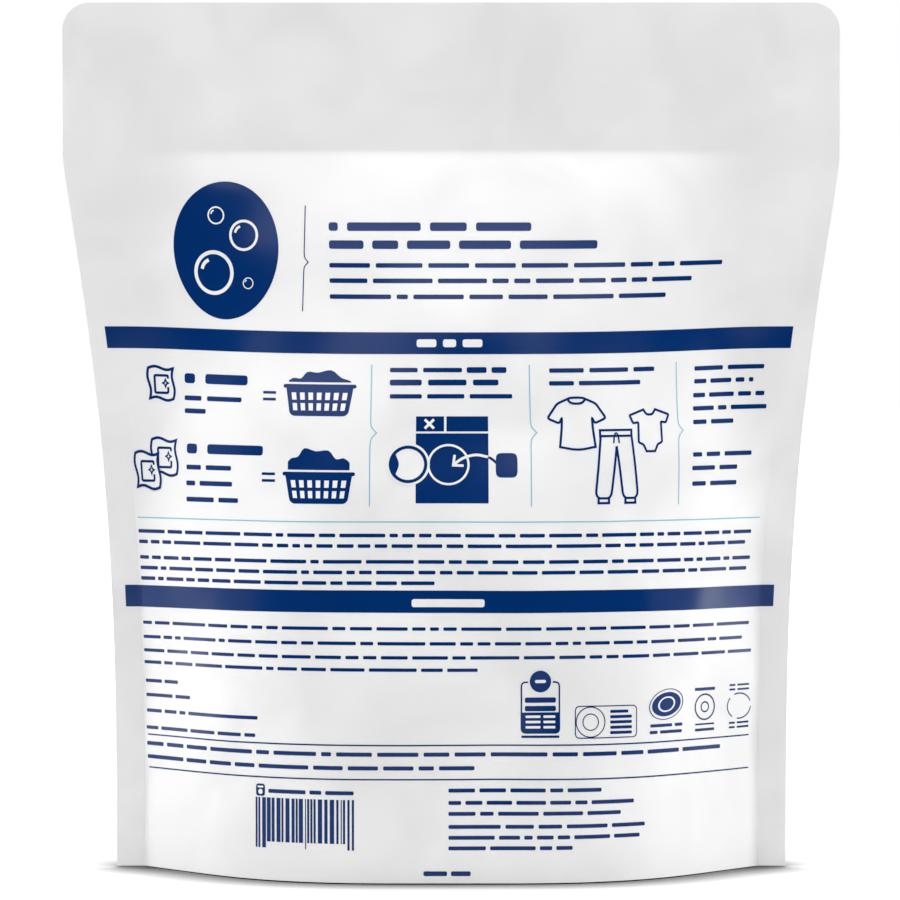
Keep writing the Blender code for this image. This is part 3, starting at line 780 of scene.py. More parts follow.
class POUCH_OT_emblem(Operator):
    """Print the navy oval with its plain soap bubbles, and the bracket beside it"""

    bl_idname = "pouch.emblem"
    bl_label = "Emblem"

    def execute(self, context):
        oval = round_patch(EMBLEM_CENTRE, EMBLEM_WIDTH, EMBLEM_HEIGHT, lean=EMBLEM_LEAN,
                           corners=EMBLEM_CORNERS)
        divider = bracket(*DIVIDER)
        divider[:, 0] += DIVIDER_LEAN * (divider[:, 1] - DIVIDER_LEAN_V)
        bubbles = []
        for centre, size in BUBBLES:
            line = size * BUBBLE_LINE_SHARE
            bubbles.append(ring(centre, size, size, line, EMBLEM_LEAN))
            shine = arc(centre, SHINE_REACH * size, SHINE_REACH * size, *SHINE_ARC)
            bubbles.append(stroke(shine, line * SHINE_LINE_SHARE))
        return print_pieces(context, ("emblem", "navy", layered([oval, stroke(divider, THIN_LINE)])),
                            ("bubbles", "white", layered(bubbles, 2)))


class POUCH_OT_headings(Operator):
    """Print bars for the two heading lines and the three lines under them"""

    bl_idname = "pouch.headings"
    bl_label = "Headings"

    def execute(self, context):
        draw = random.Random(HEADING_SEED)
        lines = []
        for right, v, letters in HEADINGS:
            lines += words(HEADING_LEFT, right, v, HEADING_HEIGHT, letters)
        for right, v in LEAD_LINES:
            lines += any_words(draw, HEADING_LEFT, right, v, LEAD_HEIGHT, LEAD_LETTER)
        return print_pieces(context, ("headings", "navy", layered(lines)))


class POUCH_OT_rules(Operator):
    """Print the thin rules: pale brackets between the steps, a pale line and two navy lines"""

    bl_idname = "pouch.rules"
    bl_label = "Rules"

    def execute(self, context):
        pale = [stroke(bracket(u, *BRACKET), THIN_LINE) for u in BRACKETS] + [bar(*PALE_RULE, THIN_LINE)]
        navy = [bar(*rule, RULE_LINE) for rule in NAVY_RULES]
        return print_pieces(context, ("pale_rules", "sky", layered(pale)),
                            ("navy_rules", "navy", layered(navy)))


# Sachets as boxes: left, bottom, right and top. The wave, the inner line and the glint are in
# shares of the box, and each of the three has its line's width.
SACHET = (-97.4, 138.8, -89.1, 147.8)
BACK_SACHET = (-97.4, 116.7, -88.1, 126.7)
FRONT_SACHET = (-104.1, 112.6, -95.2, 122.6)
SACHET_WAVE, SACHET_SIDE_STEPS = 0.055, 12
SACHET_INNER = ((0.78, 0.38), (0.78, 0.19), (0.23, 0.19), (0.23, 0.76), (0.78, 0.76), (0.78, 0.66))
SACHET_INNER_RADIUS = 0.06
GLINT_CENTRE, GLINT_WIDE, GLINT_HIGH, GLINT_WAIST = (0.67, 0.51), 0.12, 0.136, 0.036
SACHET_LINE, SACHET_INNER_LINE, GLINT_LINE = 0.82, 0.738, 0.492

# Laundry baskets: left, right, rim, heap and the heap's height
LOW_HEAP = ((0, 0.12), (0.08, 0.34), (0.2, 0.3), (0.3, 0.84), (0.47, 0.78), (0.68, 1.0), (0.84, 0.4),
            (0.94, 0.22), (1, 0.1))
HIGH_HEAP = ((0, 0.36), (0.06, 0.52), (0.17, 0.6), (0.27, 0.98), (0.46, 0.84), (0.66, 0.88), (0.78, 0.5),
             (0.9, 0.54), (0.98, 0.4), (1, 0.3))
BASKETS = ((-50.3, -28.0, 143.3, LOW_HEAP, 3.6), (-49.6, -27.8, 117.2, HIGH_HEAP, 6.6))
BASKET_SHARE, BASKET_TAPER, BASKET_DEPTH, BASKET_FOOT_RADIUS = 0.915, 0.86, 8.3, 1.5
BASKET_STEPS, BASKET_FOOT_STEPS, BASKET_COLUMNS = 5, 6, 15
RIM_MIDDLE, RIM_HEIGHT = 0.55, 1.15
HEAP_SHARE, HEAP_FOOT, HEAP_ROWS, HEAP_STEPS = 0.85, 1.75, 5, 3
SLOT_COLUMNS, SLOT_ROWS, SLOT_PITCH, SLOT_HALF = 7, 2, 0.262, 0.072
SLOT_TOP, SLOT_FOOT, SLOT_DROP = 1.35, 3.5, 3.15

# Equals signs: left, right and middle height
EQUALS = ((-56.8, -52.6, 140.8), (-56.3, -52.0, 116.6))
EQUALS_HEIGHT, EQUALS_RADIUS, EQUALS_GAP = 0.8, 0.1, 1.0


def glint_path():
    """A four-pointed star on the axes, with a waist between its points."""
    wide, high, waist = GLINT_WIDE, GLINT_HIGH, GLINT_WAIST
    right = np.array([(0, high), (waist, waist), (wide, 0), (waist, -waist)])
    return np.concatenate([right, -right]) + GLINT_CENTRE


def sachet(box, layer):
    """A pillow-shaped sachet: inner square open beside a four-pointed glint.

    Each side of its outline is one whole wave of a sine.
    """
    side = np.linspace(0, 1, SACHET_SIDE_STEPS, endpoint=False)
    wave = SACHET_WAVE * np.sin(math.tau * side)
    outline = np.concatenate([
        np.stack([side, wave], axis=1), np.stack([1 + wave, side], axis=1),
        np.stack([1 - side, 1 - wave], axis=1), np.stack([-wave, 1 - side], axis=1)])
    navy = [boxed(outline, box, SACHET_LINE, closed=True),
            boxed(rounded(SACHET_INNER, SACHET_INNER_RADIUS), box, SACHET_INNER_LINE),
            boxed(glint_path(), box, GLINT_LINE, closed=True)]
    return layered(navy, layer + 1), (filled(in_box(outline, *box)), layer)


def basket(left, right, rim, heap, heap_height):
    """A laundry basket: rim bar, tapered body with rounded foot, slots and a heap of clothes.

    The body's half width shrinks evenly with the depth, and follows a circle at the foot.
    """
    middle, half = (left + right) / 2, (right - left) / 2 * BASKET_SHARE
    radius = BASKET_FOOT_RADIUS
    straight = BASKET_DEPTH - radius
    turn = np.linspace(0, math.pi / 2, BASKET_FOOT_STEPS)[1:]
    down = np.concatenate([np.linspace(0, straight, BASKET_STEPS), straight + radius * np.sin(turn)])

    def half_width(depth):
        return half * (1 - (1 - BASKET_TAPER) * depth / BASKET_DEPTH)

    past = np.clip(down - straight, 0, radius)
    widths = (half_width(down) - radius + np.sqrt(radius ** 2 - past ** 2))[::-1, None]
    across = np.linspace(-1, 1, BASKET_COLUMNS)
    body = (middle + across * widths, (rim - down)[::-1, None])
    share, height = np.array(curved(heap, steps=HEAP_STEPS)).T
    up = np.linspace(0, heap_height, HEAP_ROWS)[:, None]
    pile = (middle + (share - 0.5) * (right - left) * HEAP_SHARE, rim + HEAP_FOOT + up * height)
    slots = []
    for column in range(SLOT_COLUMNS):
        for row in range(SLOT_ROWS):
            centre = (column - (SLOT_COLUMNS - 1) / 2) * SLOT_PITCH
            t = np.array([centre - SLOT_HALF, centre + SLOT_HALF])
            depth = np.array([[SLOT_FOOT], [SLOT_TOP]]) + row * SLOT_DROP
            slots.append((middle + t * half_width(depth), rim - depth))
    return [bar(left, right, rim + RIM_MIDDLE, RIM_HEIGHT), body, pile], slots


class POUCH_OT_dosing(Operator):
    """Print the sachets, the equals signs and the laundry baskets"""

    bl_idname = "pouch.dosing"
    bl_label = "Dosing"

    def execute(self, context):
        navy, white = [], []
        for box, layer in ((SACHET, 0), (BACK_SACHET, 0), (FRONT_SACHET, 2)):
            lines, ground = sachet(box, layer)
            navy += lines
            if layer:
                white.append(ground)
        for place in BASKETS:
            body, slots = basket(*place)
            navy += layered(body)
            white += layered(slots, 2)
        for left, right, v in EQUALS:
            for height in (v - EQUALS_GAP, v + EQUALS_GAP):
                navy.append((bar(left, right, height, EQUALS_HEIGHT, EQUALS_RADIUS), 1))
        return print_pieces(context, ("dosing_pictures", "navy", navy),
                            ("dosing_pictures_ground", "white", white))


# Washing machine: its body and two panels as boxes, with a cross on the first panel
WASHER_BOXES = ((-10.3, 109.1, 10.8, 129.9), (-10.3, 130.5, -2.1, 135.0), (-1.4, 130.5, 10.8, 135.0))
CROSS_CENTRE, CROSS_SIZE, CROSS_LINE = (-6.4, 132.75), 1.35, 0.8

# Open door with its handle's arc and waist, the drum, and the flying sachet with its line and
# arrow. An arc is given by its start and end in degrees and its count of points.
DOOR_CENTRE, DOOR_RADIUS, DOOR_LINE, DOOR_GAP = (-12.5, 120.7), 5.6, 0.95, 0.7
HANDLE_RADIUS, HANDLE_WAIST, HANDLE_ARC = 4.745, 2.6572, (140, 220, 9)
DRUM_CENTRE, DRUM_RADIUS, DRUM_LINE = (-0.8, 120.6), 6.15, 0.65
FLYING_SACHET, SACHET_POWER = ((16.05, 120.4), 6.3, 7.3), 5
TRAIL, TRAIL_LINE = ((10.9, 122.8), (12.0, 122.1), (13.2, 121.0)), 0.75
ARROW, ARROW_LINE = ((10.6, 122.9), (7.2, 123.5), (3.6, 122.6), (0.9, 120.8)), 0.8
ARROW_HEAD, ARROW_HEAD_LINE = ((1.0, 123.5), (0.6, 120.4), (3.6, 120.3)), 0.75


class POUCH_OT_washer(Operator):
    """Print the washing machine with its open door, and a sachet on its way into the drum"""

    bl_idname = "pouch.washer"
    bl_label = "Washer"

    def execute(self, context):
        body = [grid_patch(*box) for box in WASHER_BOXES]
        body += [round_patch(*FLYING_SACHET, power=SACHET_POWER), stroke(curved(TRAIL), TRAIL_LINE)]
        edge = arc(DOOR_CENTRE, HANDLE_RADIUS, HANDLE_RADIUS, *HANDLE_ARC)
        waist = (DOOR_CENTRE[0] - HANDLE_WAIST, DOOR_CENTRE[1])
        handle = np.concatenate([edge, curved([edge[-1], waist, edge[0]])[1:-1]])
        door, drum = 2 * DOOR_RADIUS, 2 * DRUM_RADIUS
        navy = layered(body) + layered([ring(DOOR_CENTRE, door, door, DOOR_LINE), filled(handle)], 3)
        white = [(round_patch(DOOR_CENTRE, door + 2 * DOOR_GAP, door + 2 * DOOR_GAP), 2),
                 (ring(DRUM_CENTRE, drum, drum, DRUM_LINE), 2),
                 (stroke(curved(ARROW), ARROW_LINE), 3), (stroke(ARROW_HEAD, ARROW_HEAD_LINE), 3)]
        for side, layer in ((-1, 2), (1, 2.5)):
            arm = np.array([(-1, -side), (1, side)]) * CROSS_SIZE + CROSS_CENTRE
            white.append((stroke(arm, CROSS_LINE), layer))
        return print_pieces(context, ("washer", "navy", navy), ("washer_ground", "white", white))


# Clothes in shares of their boxes: sides run from the neck or waist down the left
SHIRT_BOX = (28.2, 125.0, 45.8, 140.6)
SHIRT_SIDE = ((0.36, 0.975), (0.17, 0.88), (0.0, 0.6), (0.2, 0.5), (0.245, 0.62), (0.235, 0.4), (0.2, 0.05))
SHIRT_RADIUS = 0.05
SHIRT_HEM = ((0.2, 0.05), (0.5, 0.0), (0.8, 0.05))
SHIRT_COLLAR = ((0.36, 0.975), (0.4, 0.9), (0.5, 0.88), (0.6, 0.9), (0.64, 0.975), (0.5, 0.995))
SUIT_BOX = (53.3, 124.2, 66.5, 136.6)
SUIT_SIDE = ((0.35, 1.0), (0.0, 0.87), (0.08, 0.68), (0.21, 0.7), (0.2, 0.22), (0.32, 0.16), (0.39, 0.0))
SUIT_RADIUS = 0.03
SUIT_NECK = ((0.65, 1.0), (0.58, 0.9), (0.5, 0.88), (0.42, 0.9), (0.35, 1.0))
TROUSERS_BOX = (42.2, 108.9, 55.5, 130.7)
TROUSERS_WIDTH = 0.99
WAISTBAND = ((0.12, 0.92), (0.12, 1.0), (0.86, 1.0), (0.86, 0.92))
LEG = ((0.13, 0.92), (0.0, 0.13), (0.06, 0.07), (0.3, 0.07), (0.36, 0.12), (0.495, 0.78))
LEG_RADIUS = 0.05
CUFF = ((0.06, 0.07), (0.06, 0.005), (0.3, 0.005), (0.3, 0.07))
TIE = ((0.43, 0.82), (0.45, 0.92), (0.495, 0.96), (0.54, 0.92), (0.56, 0.82))
TIE_LINE = 0.49


def shirt_lines():
    """A shirt's outline with a curved hem, and its collar."""
    left = rounded(SHIRT_SIDE, SHIRT_RADIUS)
    outline = np.concatenate([left, curved(SHIRT_HEM)[1:-1], mirrored(left)[::-1]])
    collar = curved(SHIRT_COLLAR, closed=True)
    return [boxed(outline, SHIRT_BOX, ICON_LINE), boxed(collar, SHIRT_BOX, ICON_LINE, closed=True)]


def suit_lines():
    """A baby suit's outline with a round neck and cut-out legs."""
    left = rounded(SUIT_SIDE, SUIT_RADIUS)
    outline = np.concatenate([left, mirrored(left)[::-1], curved(SUIT_NECK)[1:-1]])
    return [boxed(outline, SUIT_BOX, ICON_LINE, closed=True)]


def trousers_lines():
    """Trousers: waistband, two legs, two cuffs and a tied cord."""
    leg = rounded(LEG, LEG_RADIUS)
    paths = (leg, mirrored(leg, TROUSERS_WIDTH), CUFF, mirrored(CUFF, TROUSERS_WIDTH))
    lines = [boxed(path, TROUSERS_BOX, ICON_LINE) for path in paths]
    return lines + [boxed(WAISTBAND, TROUSERS_BOX, ICON_LINE, closed=True),
                    boxed(curved(TIE), TROUSERS_BOX, TIE_LINE)]


class POUCH_OT_clothes(Operator):
    """Print the outlines of a shirt, a baby suit and trousers"""

    bl_idname = "pouch.clothes"
    bl_label = "Clothes"

    def execute(self, context):
        outlines = shirt_lines() + suit_lines() + trousers_lines()
        return print_pieces(context, ("clothes", "navy", layered(outlines)))


# Captions: left, right and middle height of each line, bar height and letter counts
CAPTIONS = (
    (-85.0, -62.2, 145.1, 2.9, (1, 4)), (-85.0, -64.1, 139.3, 1.4, (3, 6)), (-84.9, -77.0, 135.5, 1.4, (4,)),
    (-83.9, -56.1, 124.4, 2.9, (1, 5)), (-84.1, -67.0, 118.9, 1.4, (3, 5)),
    (-84.4, -66.7, 114.2, 1.4, (2, 7)), (-84.6, -64.6, 109.4, 1.4, (6, 4)),
    (-18.2, 3.2, 148.8, 1.3, (5, 7)), (4.6, 16.4, 148.8, 1.7, (4, 3)), (-18.2, 14.0, 145.1, 1.7, (5, 6, 4)),
    (-18.1, 18.0, 141.0, 1.3, (6, 7, 8)),
    (29.1, 62.1, 148.6, 1.3, (6, 7, 4)), (29.0, 57.3, 144.8, 1.3, (5, 13)),
    (76.4, 100.6, 148.2, 1.3, (6, 7)), (76.3, 97.4, 144.4, 1.3, (3, 5, 2, 1)),
    (75.8, 101.4, 140.3, 1.3, (3, 6, 3, 2)), (75.6, 102.5, 136.4, 1.3, (5, 2, 8)),
    (75.5, 90.8, 132.4, 1.3, (3, 5)), (75.1, 98.0, 122.8, 1.3, (2, 3, 6)),
    (74.8, 92.6, 118.8, 1.3, (5, 4)), (74.9, 92.6, 114.2, 1.3, (3, 6)),
)

# Lines of small print whose words are drawn: bar height, letter width and left edge of each
# paragraph, then the right edge and middle height of each line
PARAGRAPHS = (
    (1.05, 1.25, -105.1, ((99.8, 99.6), (97.5, 96.5), (99.9, 91.9), (98.5, 88.8), (-4.8, 85.7))),
    (0.95, 1.3, -105.1, ((100.6, 72.6), (97.7, 68.4), (101.9, 64.4), (7.6, 60.9))),
    (1.15, 1.6, -104.6, ((88.7, 36.9),)),
    (1.15, 1.6, -104.4, ((6.7, 33.0),)),
    (1.1, 1.35, -0.8, ((43.8, 26.7), (54.2, 23.2), (49.9, 20.1), (58.0, 16.4), (56.2, 13.3), (35.1, 10.3))),
)

# Short lines of small print, in the same terms as the captions
NOTES = (
    (-104.7, -90.4, 55.4, 1.0, (6, 5)), (-104.6, -85.1, 51.2, 1.0, (9, 5)),
    (-104.5, -58.0, 46.6, 1.0, (5, 4, 2, 21)), (-104.7, -58.8, 41.6, 1.0, (4, 9, 8, 7, 3)),
    (-8.0, 5.6, 3.0, 1.5, (6, 5)),
)


class POUCH_OT_captions(Operator):
    """Print bars for the words of the four steps"""

    bl_idname = "pouch.captions"
    bl_label = "Captions"

    def execute(self, context):
        return print_pieces(context, ("captions", "navy", layered(word_lines(CAPTIONS))))


class POUCH_OT_small_print(Operator):
    """Print bars for the paragraphs of small print"""

    bl_idname = "pouch.small_print"
    bl_label = "Small Print"

    def execute(self, context):
        draw = random.Random(SMALL_PRINT_SEED)
        shapes = word_lines(NOTES)
        for height, letter_width, left, lines in PARAGRAPHS:
            for right, v in lines:
                shapes += any_words(draw, left, right, v, height, letter_width)
        return print_pieces(context, ("small_print", "navy", layered(shapes)))


# Badges. A tag: its box, line and corners, the height of its filled foot, and its round top
TAG_BADGE = (20.2, 43.0, 31.2, 57.4)
TAG_LINE, TAG_RADIUS, TAG_FOOT = 0.45, 1.3, 5.8
TAG_TOP, TAG_TOP_SIZE, TAG_TOP_GROUND = (25.7, 57.6), 6.2, 7.2
TAG_DASH = (24.1, 27.3, 57.6, 0.9)

# A tile with two rings, a leant oval, two round rings and a broken wreath. The rings are given
# by middle, width, height, line and lean.
TILE_BADGE, TILE_LINE, TILE_RADIUS = (35.9, 41.4, 55.1, 50.4), 0.3, 1.4
BADGE_RINGS = (
    ((40.5, 45.9), 9.0, 8.8, 0.3, 0.0), ((40.5, 45.9), 5.0, 4.9, 0.3, 0.0),
    ((66.0, 50.2), 12.9, 8.9, 0.35, 0.25), ((81.8, 48.7), 8.9, 7.8, 0.55, 0.0),
    ((81.8, 48.7), 3.738, 3.276, 0.5, 0.0),
)
OVAL_BADGE, OVAL_LEAN = ((66.0, 50.2), 10.9, 6.9), 0.25
OVAL_RING = ((66.0, 50.2), 6.45, 4.45, 0.6, 0.25)
RING_BADGE_BAR = (77.6, 86.0, 43.7, 0.5)
WREATH_BADGE, WREATH_LINE = ((97.0, 48.3), 5.2, 3.7), 0.4
WREATH_STARTS, WREATH_SWEEP, WREATH_STEPS = (20, 140, 260), 95, 16

# Words on and under the badges, in navy and in the film's white
BADGE_WORDS = (
    (21.2, 30.2, (52.3, 49.9), 1.5, (6,)), (20.2, 31.2, 41.9, 0.7, (12,)),
    (46.5, 52.3, 48.8, 0.85, (9,)), (46.5, 53.5, (47.3, 45.8, 44.3, 42.8), 0.85, (9,)),
    (59.9, 72.2, 44.2, 0.9, (8, 3)), (59.7, 72.0, 42.3, 0.9, (3, 9)),
    (77.4, 86.2, 53.9, 0.9, (9,)), (77.6, 86.0, 42.1, 0.8, (11,)),
    (92.6, 101.4, (54.5, 53.2, 43.4, 42.1), 0.6, (3, 6)),
)
BADGE_WHITE_WORDS = ((21.4, 30.0, (47.6, 46.1, 44.6), 0.7, (5, 4)),)


class POUCH_OT_badges(Operator):
    """Print the row of plain badges: tag, tile, oval, ring and wreath"""

    bl_idname = "pouch.badges"
    bl_label = "Badges"

    def execute(self, context):
        left, bottom, right, _ = TAG_BADGE
        foot = [(left, bottom + TAG_FOOT), (left, bottom), (right, bottom), (right, bottom + TAG_FOOT)]
        shapes = [stroke(rounded_box(*TAG_BADGE, TAG_RADIUS), TAG_LINE, closed=True),
                  filled(rounded(foot, TAG_RADIUS)),
                  stroke(rounded_box(*TILE_BADGE, TILE_RADIUS), TILE_LINE, closed=True),
                  round_patch(*OVAL_BADGE, lean=OVAL_LEAN), bar(*RING_BADGE_BAR)]
        shapes += [ring(*place) for place in BADGE_RINGS]
        shapes += [stroke(arc(*WREATH_BADGE, start, start + WREATH_SWEEP, WREATH_STEPS), WREATH_LINE)
                   for start in WREATH_STARTS]
        navy = layered(shapes + word_lines(BADGE_WORDS))
        navy.append((round_patch(TAG_TOP, TAG_TOP_SIZE, TAG_TOP_SIZE), 3))
        white = layered(word_lines(BADGE_WHITE_WORDS), 2)
        white += [(round_patch(TAG_TOP, TAG_TOP_GROUND, TAG_TOP_GROUND), 2), (bar(*TAG_DASH), 4),
                  (ring(*OVAL_RING), 2)]
        return print_pieces(context, ("badges", "navy", navy), ("badges_ground", "white", white))


# Striped block: its box, the number of its modules, widths and gaps to draw from, and the
# modules at its ends and round its middle where stripes reach further down
STRIPES = (-58.7, 11.4, -28.0, 24.0)
STRIPE_MODULES = 95
STRIPE_WIDTHS, STRIPE_GAPS = (1, 2, 2, 3, 4), (1, 1, 2, 2)
STRIPE_TAIL, STRIPE_END, STRIPE_MIDDLE = 1.8, 10, 3

# Small square above it with its two white marks, and the words beside it
SQUARE, SQUARE_POWER = ((-57.0, 26.1), 3.1, 3.5), 5
SQUARE_BAR, SQUARE_DOT = (-58.0, -56.0, 27.0, 0.5), ((-57.0, 25.6), 1.5, 1.5)
SQUARE_WORDS = (-54.3, -28.1, 25.9, 1.1, (10, 3, 7))


class POUCH_OT_stripes(Operator):
    """Print the block of upright stripes, and the small square and words above it"""

    bl_idname = "pouch.stripes"
    bl_label = "Stripes"

    def execute(self, context):
        draw = random.Random(STRIPE_SEED)
        left, bottom, right, top = STRIPES
        module = (right - left) / STRIPE_MODULES
        shapes = words(*SQUARE_WORDS) + [round_patch(*SQUARE, power=SQUARE_POWER)]
        at = 0
        while at < STRIPE_MODULES:
            width = min(draw.choice(STRIPE_WIDTHS), STRIPE_MODULES - at)
            beside = min(at, STRIPE_MODULES - at) < STRIPE_END
            low = beside or abs(at - STRIPE_MODULES / 2) < STRIPE_MIDDLE
            start = left + at * module
            shapes.append(grid_patch(start, bottom - STRIPE_TAIL * low, start + width * module, top))
            at += width + draw.choice(STRIPE_GAPS)
        marks = [bar(*SQUARE_BAR), round_patch(*SQUARE_DOT)]
        return print_pieces(context, ("stripes", "navy", layered(shapes)),
                            ("stripes_ground", "white", layered(marks, 2)))


class POUCH_OT_stage(Operator):
    """Set up the floor, the soft lamps and the camera"""

    bl_idname = "pouch.stage"
    bl_label = "Stage"

    def execute(self, context):
        make_floor(context.scene.pouch_colours.floor)
        make_card()
        make_world()
        make_lamps()
        make_camera()
        context.scene.view_settings.view_transform = "Standard"
        return {"FINISHED"}


# The photograph's view, in metres
CAMERA_X = -0.35 * MM
CAMERA_DISTANCE = 1600 * MM
CAMERA_HEIGHT = 190 * MM
CAMERA_FAR = 50.0
VIEW_CENTRE_HEIGHT = 123.4 * MM
VIEW_WIDTH = 265.5 * MM

# Floor: its size, its glow close by, the radii where that grows to plain white, and the reach
# and power of the painted shade close to the pouch, which follows the ambient occlusion
FLOOR_SIZE = 8.0
FLOOR_GLOW = 0.1
FLOOR_GLOW_RADII = (0.2, 0.9)
PAINTED_SHADE_REACH = 20 * MM
PAINTED_SHADE_POWER = 2.4
FILL_STRENGTH = 0.2
MATT = {"Roughness": 0.9, "Specular IOR Level": 0.0}
WHITE = (1, 1, 1, 1)

# Dark card behind the camera, an arc round the pouch: radius, lower and upper edge, half its
# angle, its columns and its colour
CARD_RADIUS = 2.6
CARD_EDGES = (0.01, 3.0)
CARD_REACH = math.radians(62)
CARD_COLUMNS = 33
CARD_COLOUR = (0.01, 0.01, 0.01, 1)


def seen_directly(tree):
    """A socket that is 1 for rays from the camera and for those it sends on by gloss or through glass."""
    path = tree.nodes.new("ShaderNodeLightPath").outputs
    highest = path["Is Camera Ray"]
    for name in ("Is Glossy Ray", "Is Transmission Ray"):
        highest = add_node(tree, "Math", "Value", {0: highest, 1: path[name]}, operation="MAXIMUM")
    return highest


def make_floor(colour):
    """A wide pale floor that keeps the pouch's shadow and turns plain white away from it.

    Where it is seen directly, it also has painted shade close to the pouch: colour and glow are
    times the ambient occlusion to a power. All other rays meet a plain diffuse floor.
    """
    half = FLOOR_SIZE / 2
    corners = np.array([(-half, -half, 0), (half, -half, 0), (half, half, 0), (-half, half, 0)])
    floor = mesh_object("floor", corners, np.array([[0, 1, 2, 3]]))
    material, tree, shader = new_material("studio_floor")
    # Painted shade: close to the pouch the floor's colour and glow darken with the ambient occlusion
    near = add_node(tree, "AmbientOcclusion", "AO", {"Distance": PAINTED_SHADE_REACH})
    painted_contact_shade = add_node(tree, "Math", "Value", {0: near, 1: PAINTED_SHADE_POWER}, operation="POWER")
    join(tree, shader, {"Base Color": toned(tree, painted_contact_shade, colour, 0, 1), **MATT})
    place = add_node(tree, "TexCoord", "Object")
    away = add_node(tree, "VectorMath", "Value", {0: place}, operation="LENGTH")
    growth = ranged(tree, away, *FLOOR_GLOW_RADII, FLOOR_GLOW, 1.0, "SMOOTHSTEP")
    strength = add_node(tree, "Math", "Value", {0: growth, 1: painted_contact_shade}, operation="MULTIPLY")
    glow = add_node(tree, "Emission", "Emission", {"Strength": strength})
    both = add_node(tree, "AddShader", "Shader", {0: shader.outputs["BSDF"], 1: glow})
    plain = add_node(tree, "BsdfDiffuse", "BSDF", {"Color": (*colour, 1)})
    choice = add_node(tree, "MixShader", "Shader", {"Fac": seen_directly(tree), 1: plain, 2: both})
    join(tree, tree.nodes["Material Output"], {"Surface": choice})
    floor.data.materials.append(material)


def make_card():
    """A dark card round the back of the camera, so that the inks have something dark to mirror.

    It is part of an upright cylinder: radius times sine and cosine of the angle, at two heights.
    """
    angle = np.linspace(-CARD_REACH, CARD_REACH, CARD_COLUMNS)
    height = np.array(CARD_EDGES)[:, None]
    x, y = CARD_RADIUS * np.sin(angle), -CARD_RADIUS * np.cos(angle)
    places = np.stack(np.broadcast_arrays(x, y, height), axis=-1)
    card = mesh_object("dark_card", places.reshape(-1, 3), grid_faces(2, CARD_COLUMNS))
    card.visible_camera = False
    material, tree, shader = new_material("black_cloth")
    join(tree, shader, {"Base Color": CARD_COLOUR, **MATT})
    card.data.materials.append(material)


def make_world():
    """Plain white behind everything that is seen directly, and a dimmer even fill for the light."""
    world = bpy.data.worlds.new("studio")
    bpy.context.scene.world = world
    world.use_nodes = True
    tree = world.node_tree
    fill = tree.nodes["Background"]
    join(tree, fill, {"Color": WHITE, "Strength": FILL_STRENGTH})
    white = add_node(tree, "Background", "Background", {"Color": WHITE})
    choice = add_node(tree, "MixShader", "Shader",
                      {"Fac": seen_directly(tree), 1: fill.outputs["Background"], 2: white})
    join(tree, tree.nodes["World Output"], {"Surface": choice})


# Soft lamps: name, azimuth and elevation in degrees from the camera's side, distance, width and
# height in metres, and radiance
LAMP_AIM = Vector((0, 0, 0.12))
LAMPS = (
    ("strip_left", -97, 12, 1.3, 0.3, 1.0, 7.05),
    ("strip_right", 97, 12, 1.3, 0.3, 1.0, 7.05),
    ("softbox_front", 0, 45, 1.4, 3.2, 0.6, 3.0),
    ("softbox_top", 0, 90, 1.4, 2.6, 0.6, 4.4),
    ("softbox_back", 180, 35, 1.5, 1.4, 0.8, 1.5),
)


def make_lamps():
    """Large rectangular lamps round the pouch, all aimed at its middle.

    A lamp's power is its radiance times pi times its area.
    """
    for name, azimuth, elevation, distance, width, height, radiance in LAMPS:
        turn, rise = math.radians(azimuth), math.radians(elevation)
        away = Vector((math.sin(turn) * math.cos(rise), -math.cos(turn) * math.cos(rise), math.sin(rise)))
        lamp = bpy.data.lights.new(name, "AREA")
        lamp.shape = "RECTANGLE"
        lamp.size, lamp.size_y = width, height
        lamp.energy = radiance * math.pi * width * height
        holder = bpy.data.objects.new(name, lamp)
        holder.location = LAMP_AIM + away * distance
        holder.rotation_euler = away.to_track_quat("Z", "Y").to_euler()
        bpy.context.scene.collection.objects.link(holder)


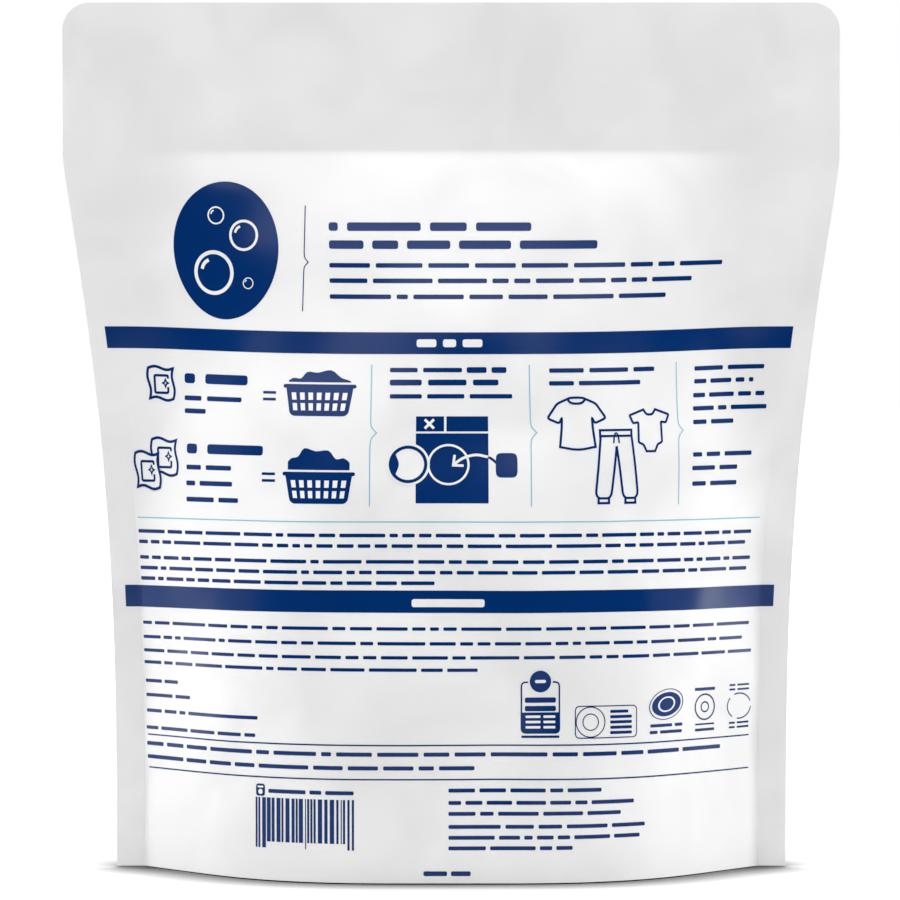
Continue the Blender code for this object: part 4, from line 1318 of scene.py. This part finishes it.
def make_camera():
    """A long lens at the photograph's height, tipped slightly down.

    Its length is the sensor's width times the distance over the width in view.
    """
    camera = bpy.data.cameras.new("camera")
    holder = bpy.data.objects.new("camera", camera)
    bpy.context.scene.collection.objects.link(holder)
    place = Vector((CAMERA_X, -CAMERA_DISTANCE, CAMERA_HEIGHT))
    aim = Vector((CAMERA_X, 0, VIEW_CENTRE_HEIGHT))
    holder.location = place
    holder.rotation_euler = (aim - place).to_track_quat("-Z", "Y").to_euler()
    camera.lens = camera.sensor_width * (aim - place).length / VIEW_WIDTH
    camera.clip_end = CAMERA_FAR
    bpy.context.scene.camera = holder


class POUCH_PT_pieces(Panel):
    """Lists the pieces of the pouch and the stage"""

    bl_idname = "POUCH_PT_pieces"
    bl_label = "Laundry Pod Bag"
    bl_space_type = "VIEW_3D"
    bl_region_type = "UI"
    bl_category = "Pouch"

    def draw(self, context):
        for operator in PIECE_OPERATORS:
            self.layout.operator(operator.bl_idname)
        for group in (context.scene.pouch_sizes, context.scene.pouch_colours):
            box = self.layout.box()
            for name in group.__annotations__:
                box.prop(group, name)


PIECE_OPERATORS = (POUCH_OT_film, POUCH_OT_bands, POUCH_OT_emblem, POUCH_OT_headings, POUCH_OT_rules,
                   POUCH_OT_dosing, POUCH_OT_washer, POUCH_OT_clothes, POUCH_OT_captions,
                   POUCH_OT_small_print, POUCH_OT_badges, POUCH_OT_stripes, POUCH_OT_stage)
CLASSES = (PouchSizes, PouchColours) + PIECE_OPERATORS + (POUCH_PT_pieces,)


def register():
    """Register the classes and hang the settings on the scene."""
    for cls in CLASSES:
        bpy.utils.register_class(cls)
    bpy.types.Scene.pouch_sizes = PointerProperty(type=PouchSizes)
    bpy.types.Scene.pouch_colours = PointerProperty(type=PouchColours)


def unregister():
    """Take the settings and the classes away again."""
    del bpy.types.Scene.pouch_colours
    del bpy.types.Scene.pouch_sizes
    for cls in reversed(CLASSES):
        bpy.utils.unregister_class(cls)


def main():
    """Make every piece in order."""
    register()
    bpy.ops.pouch.film()
    bpy.ops.pouch.bands()
    bpy.ops.pouch.emblem()
    bpy.ops.pouch.headings()
    bpy.ops.pouch.rules()
    bpy.ops.pouch.dosing()
    bpy.ops.pouch.washer()
    bpy.ops.pouch.clothes()
    bpy.ops.pouch.captions()
    bpy.ops.pouch.small_print()
    bpy.ops.pouch.badges()
    bpy.ops.pouch.stripes()
    bpy.ops.pouch.stage()


if __name__ == "__main__":
    main()
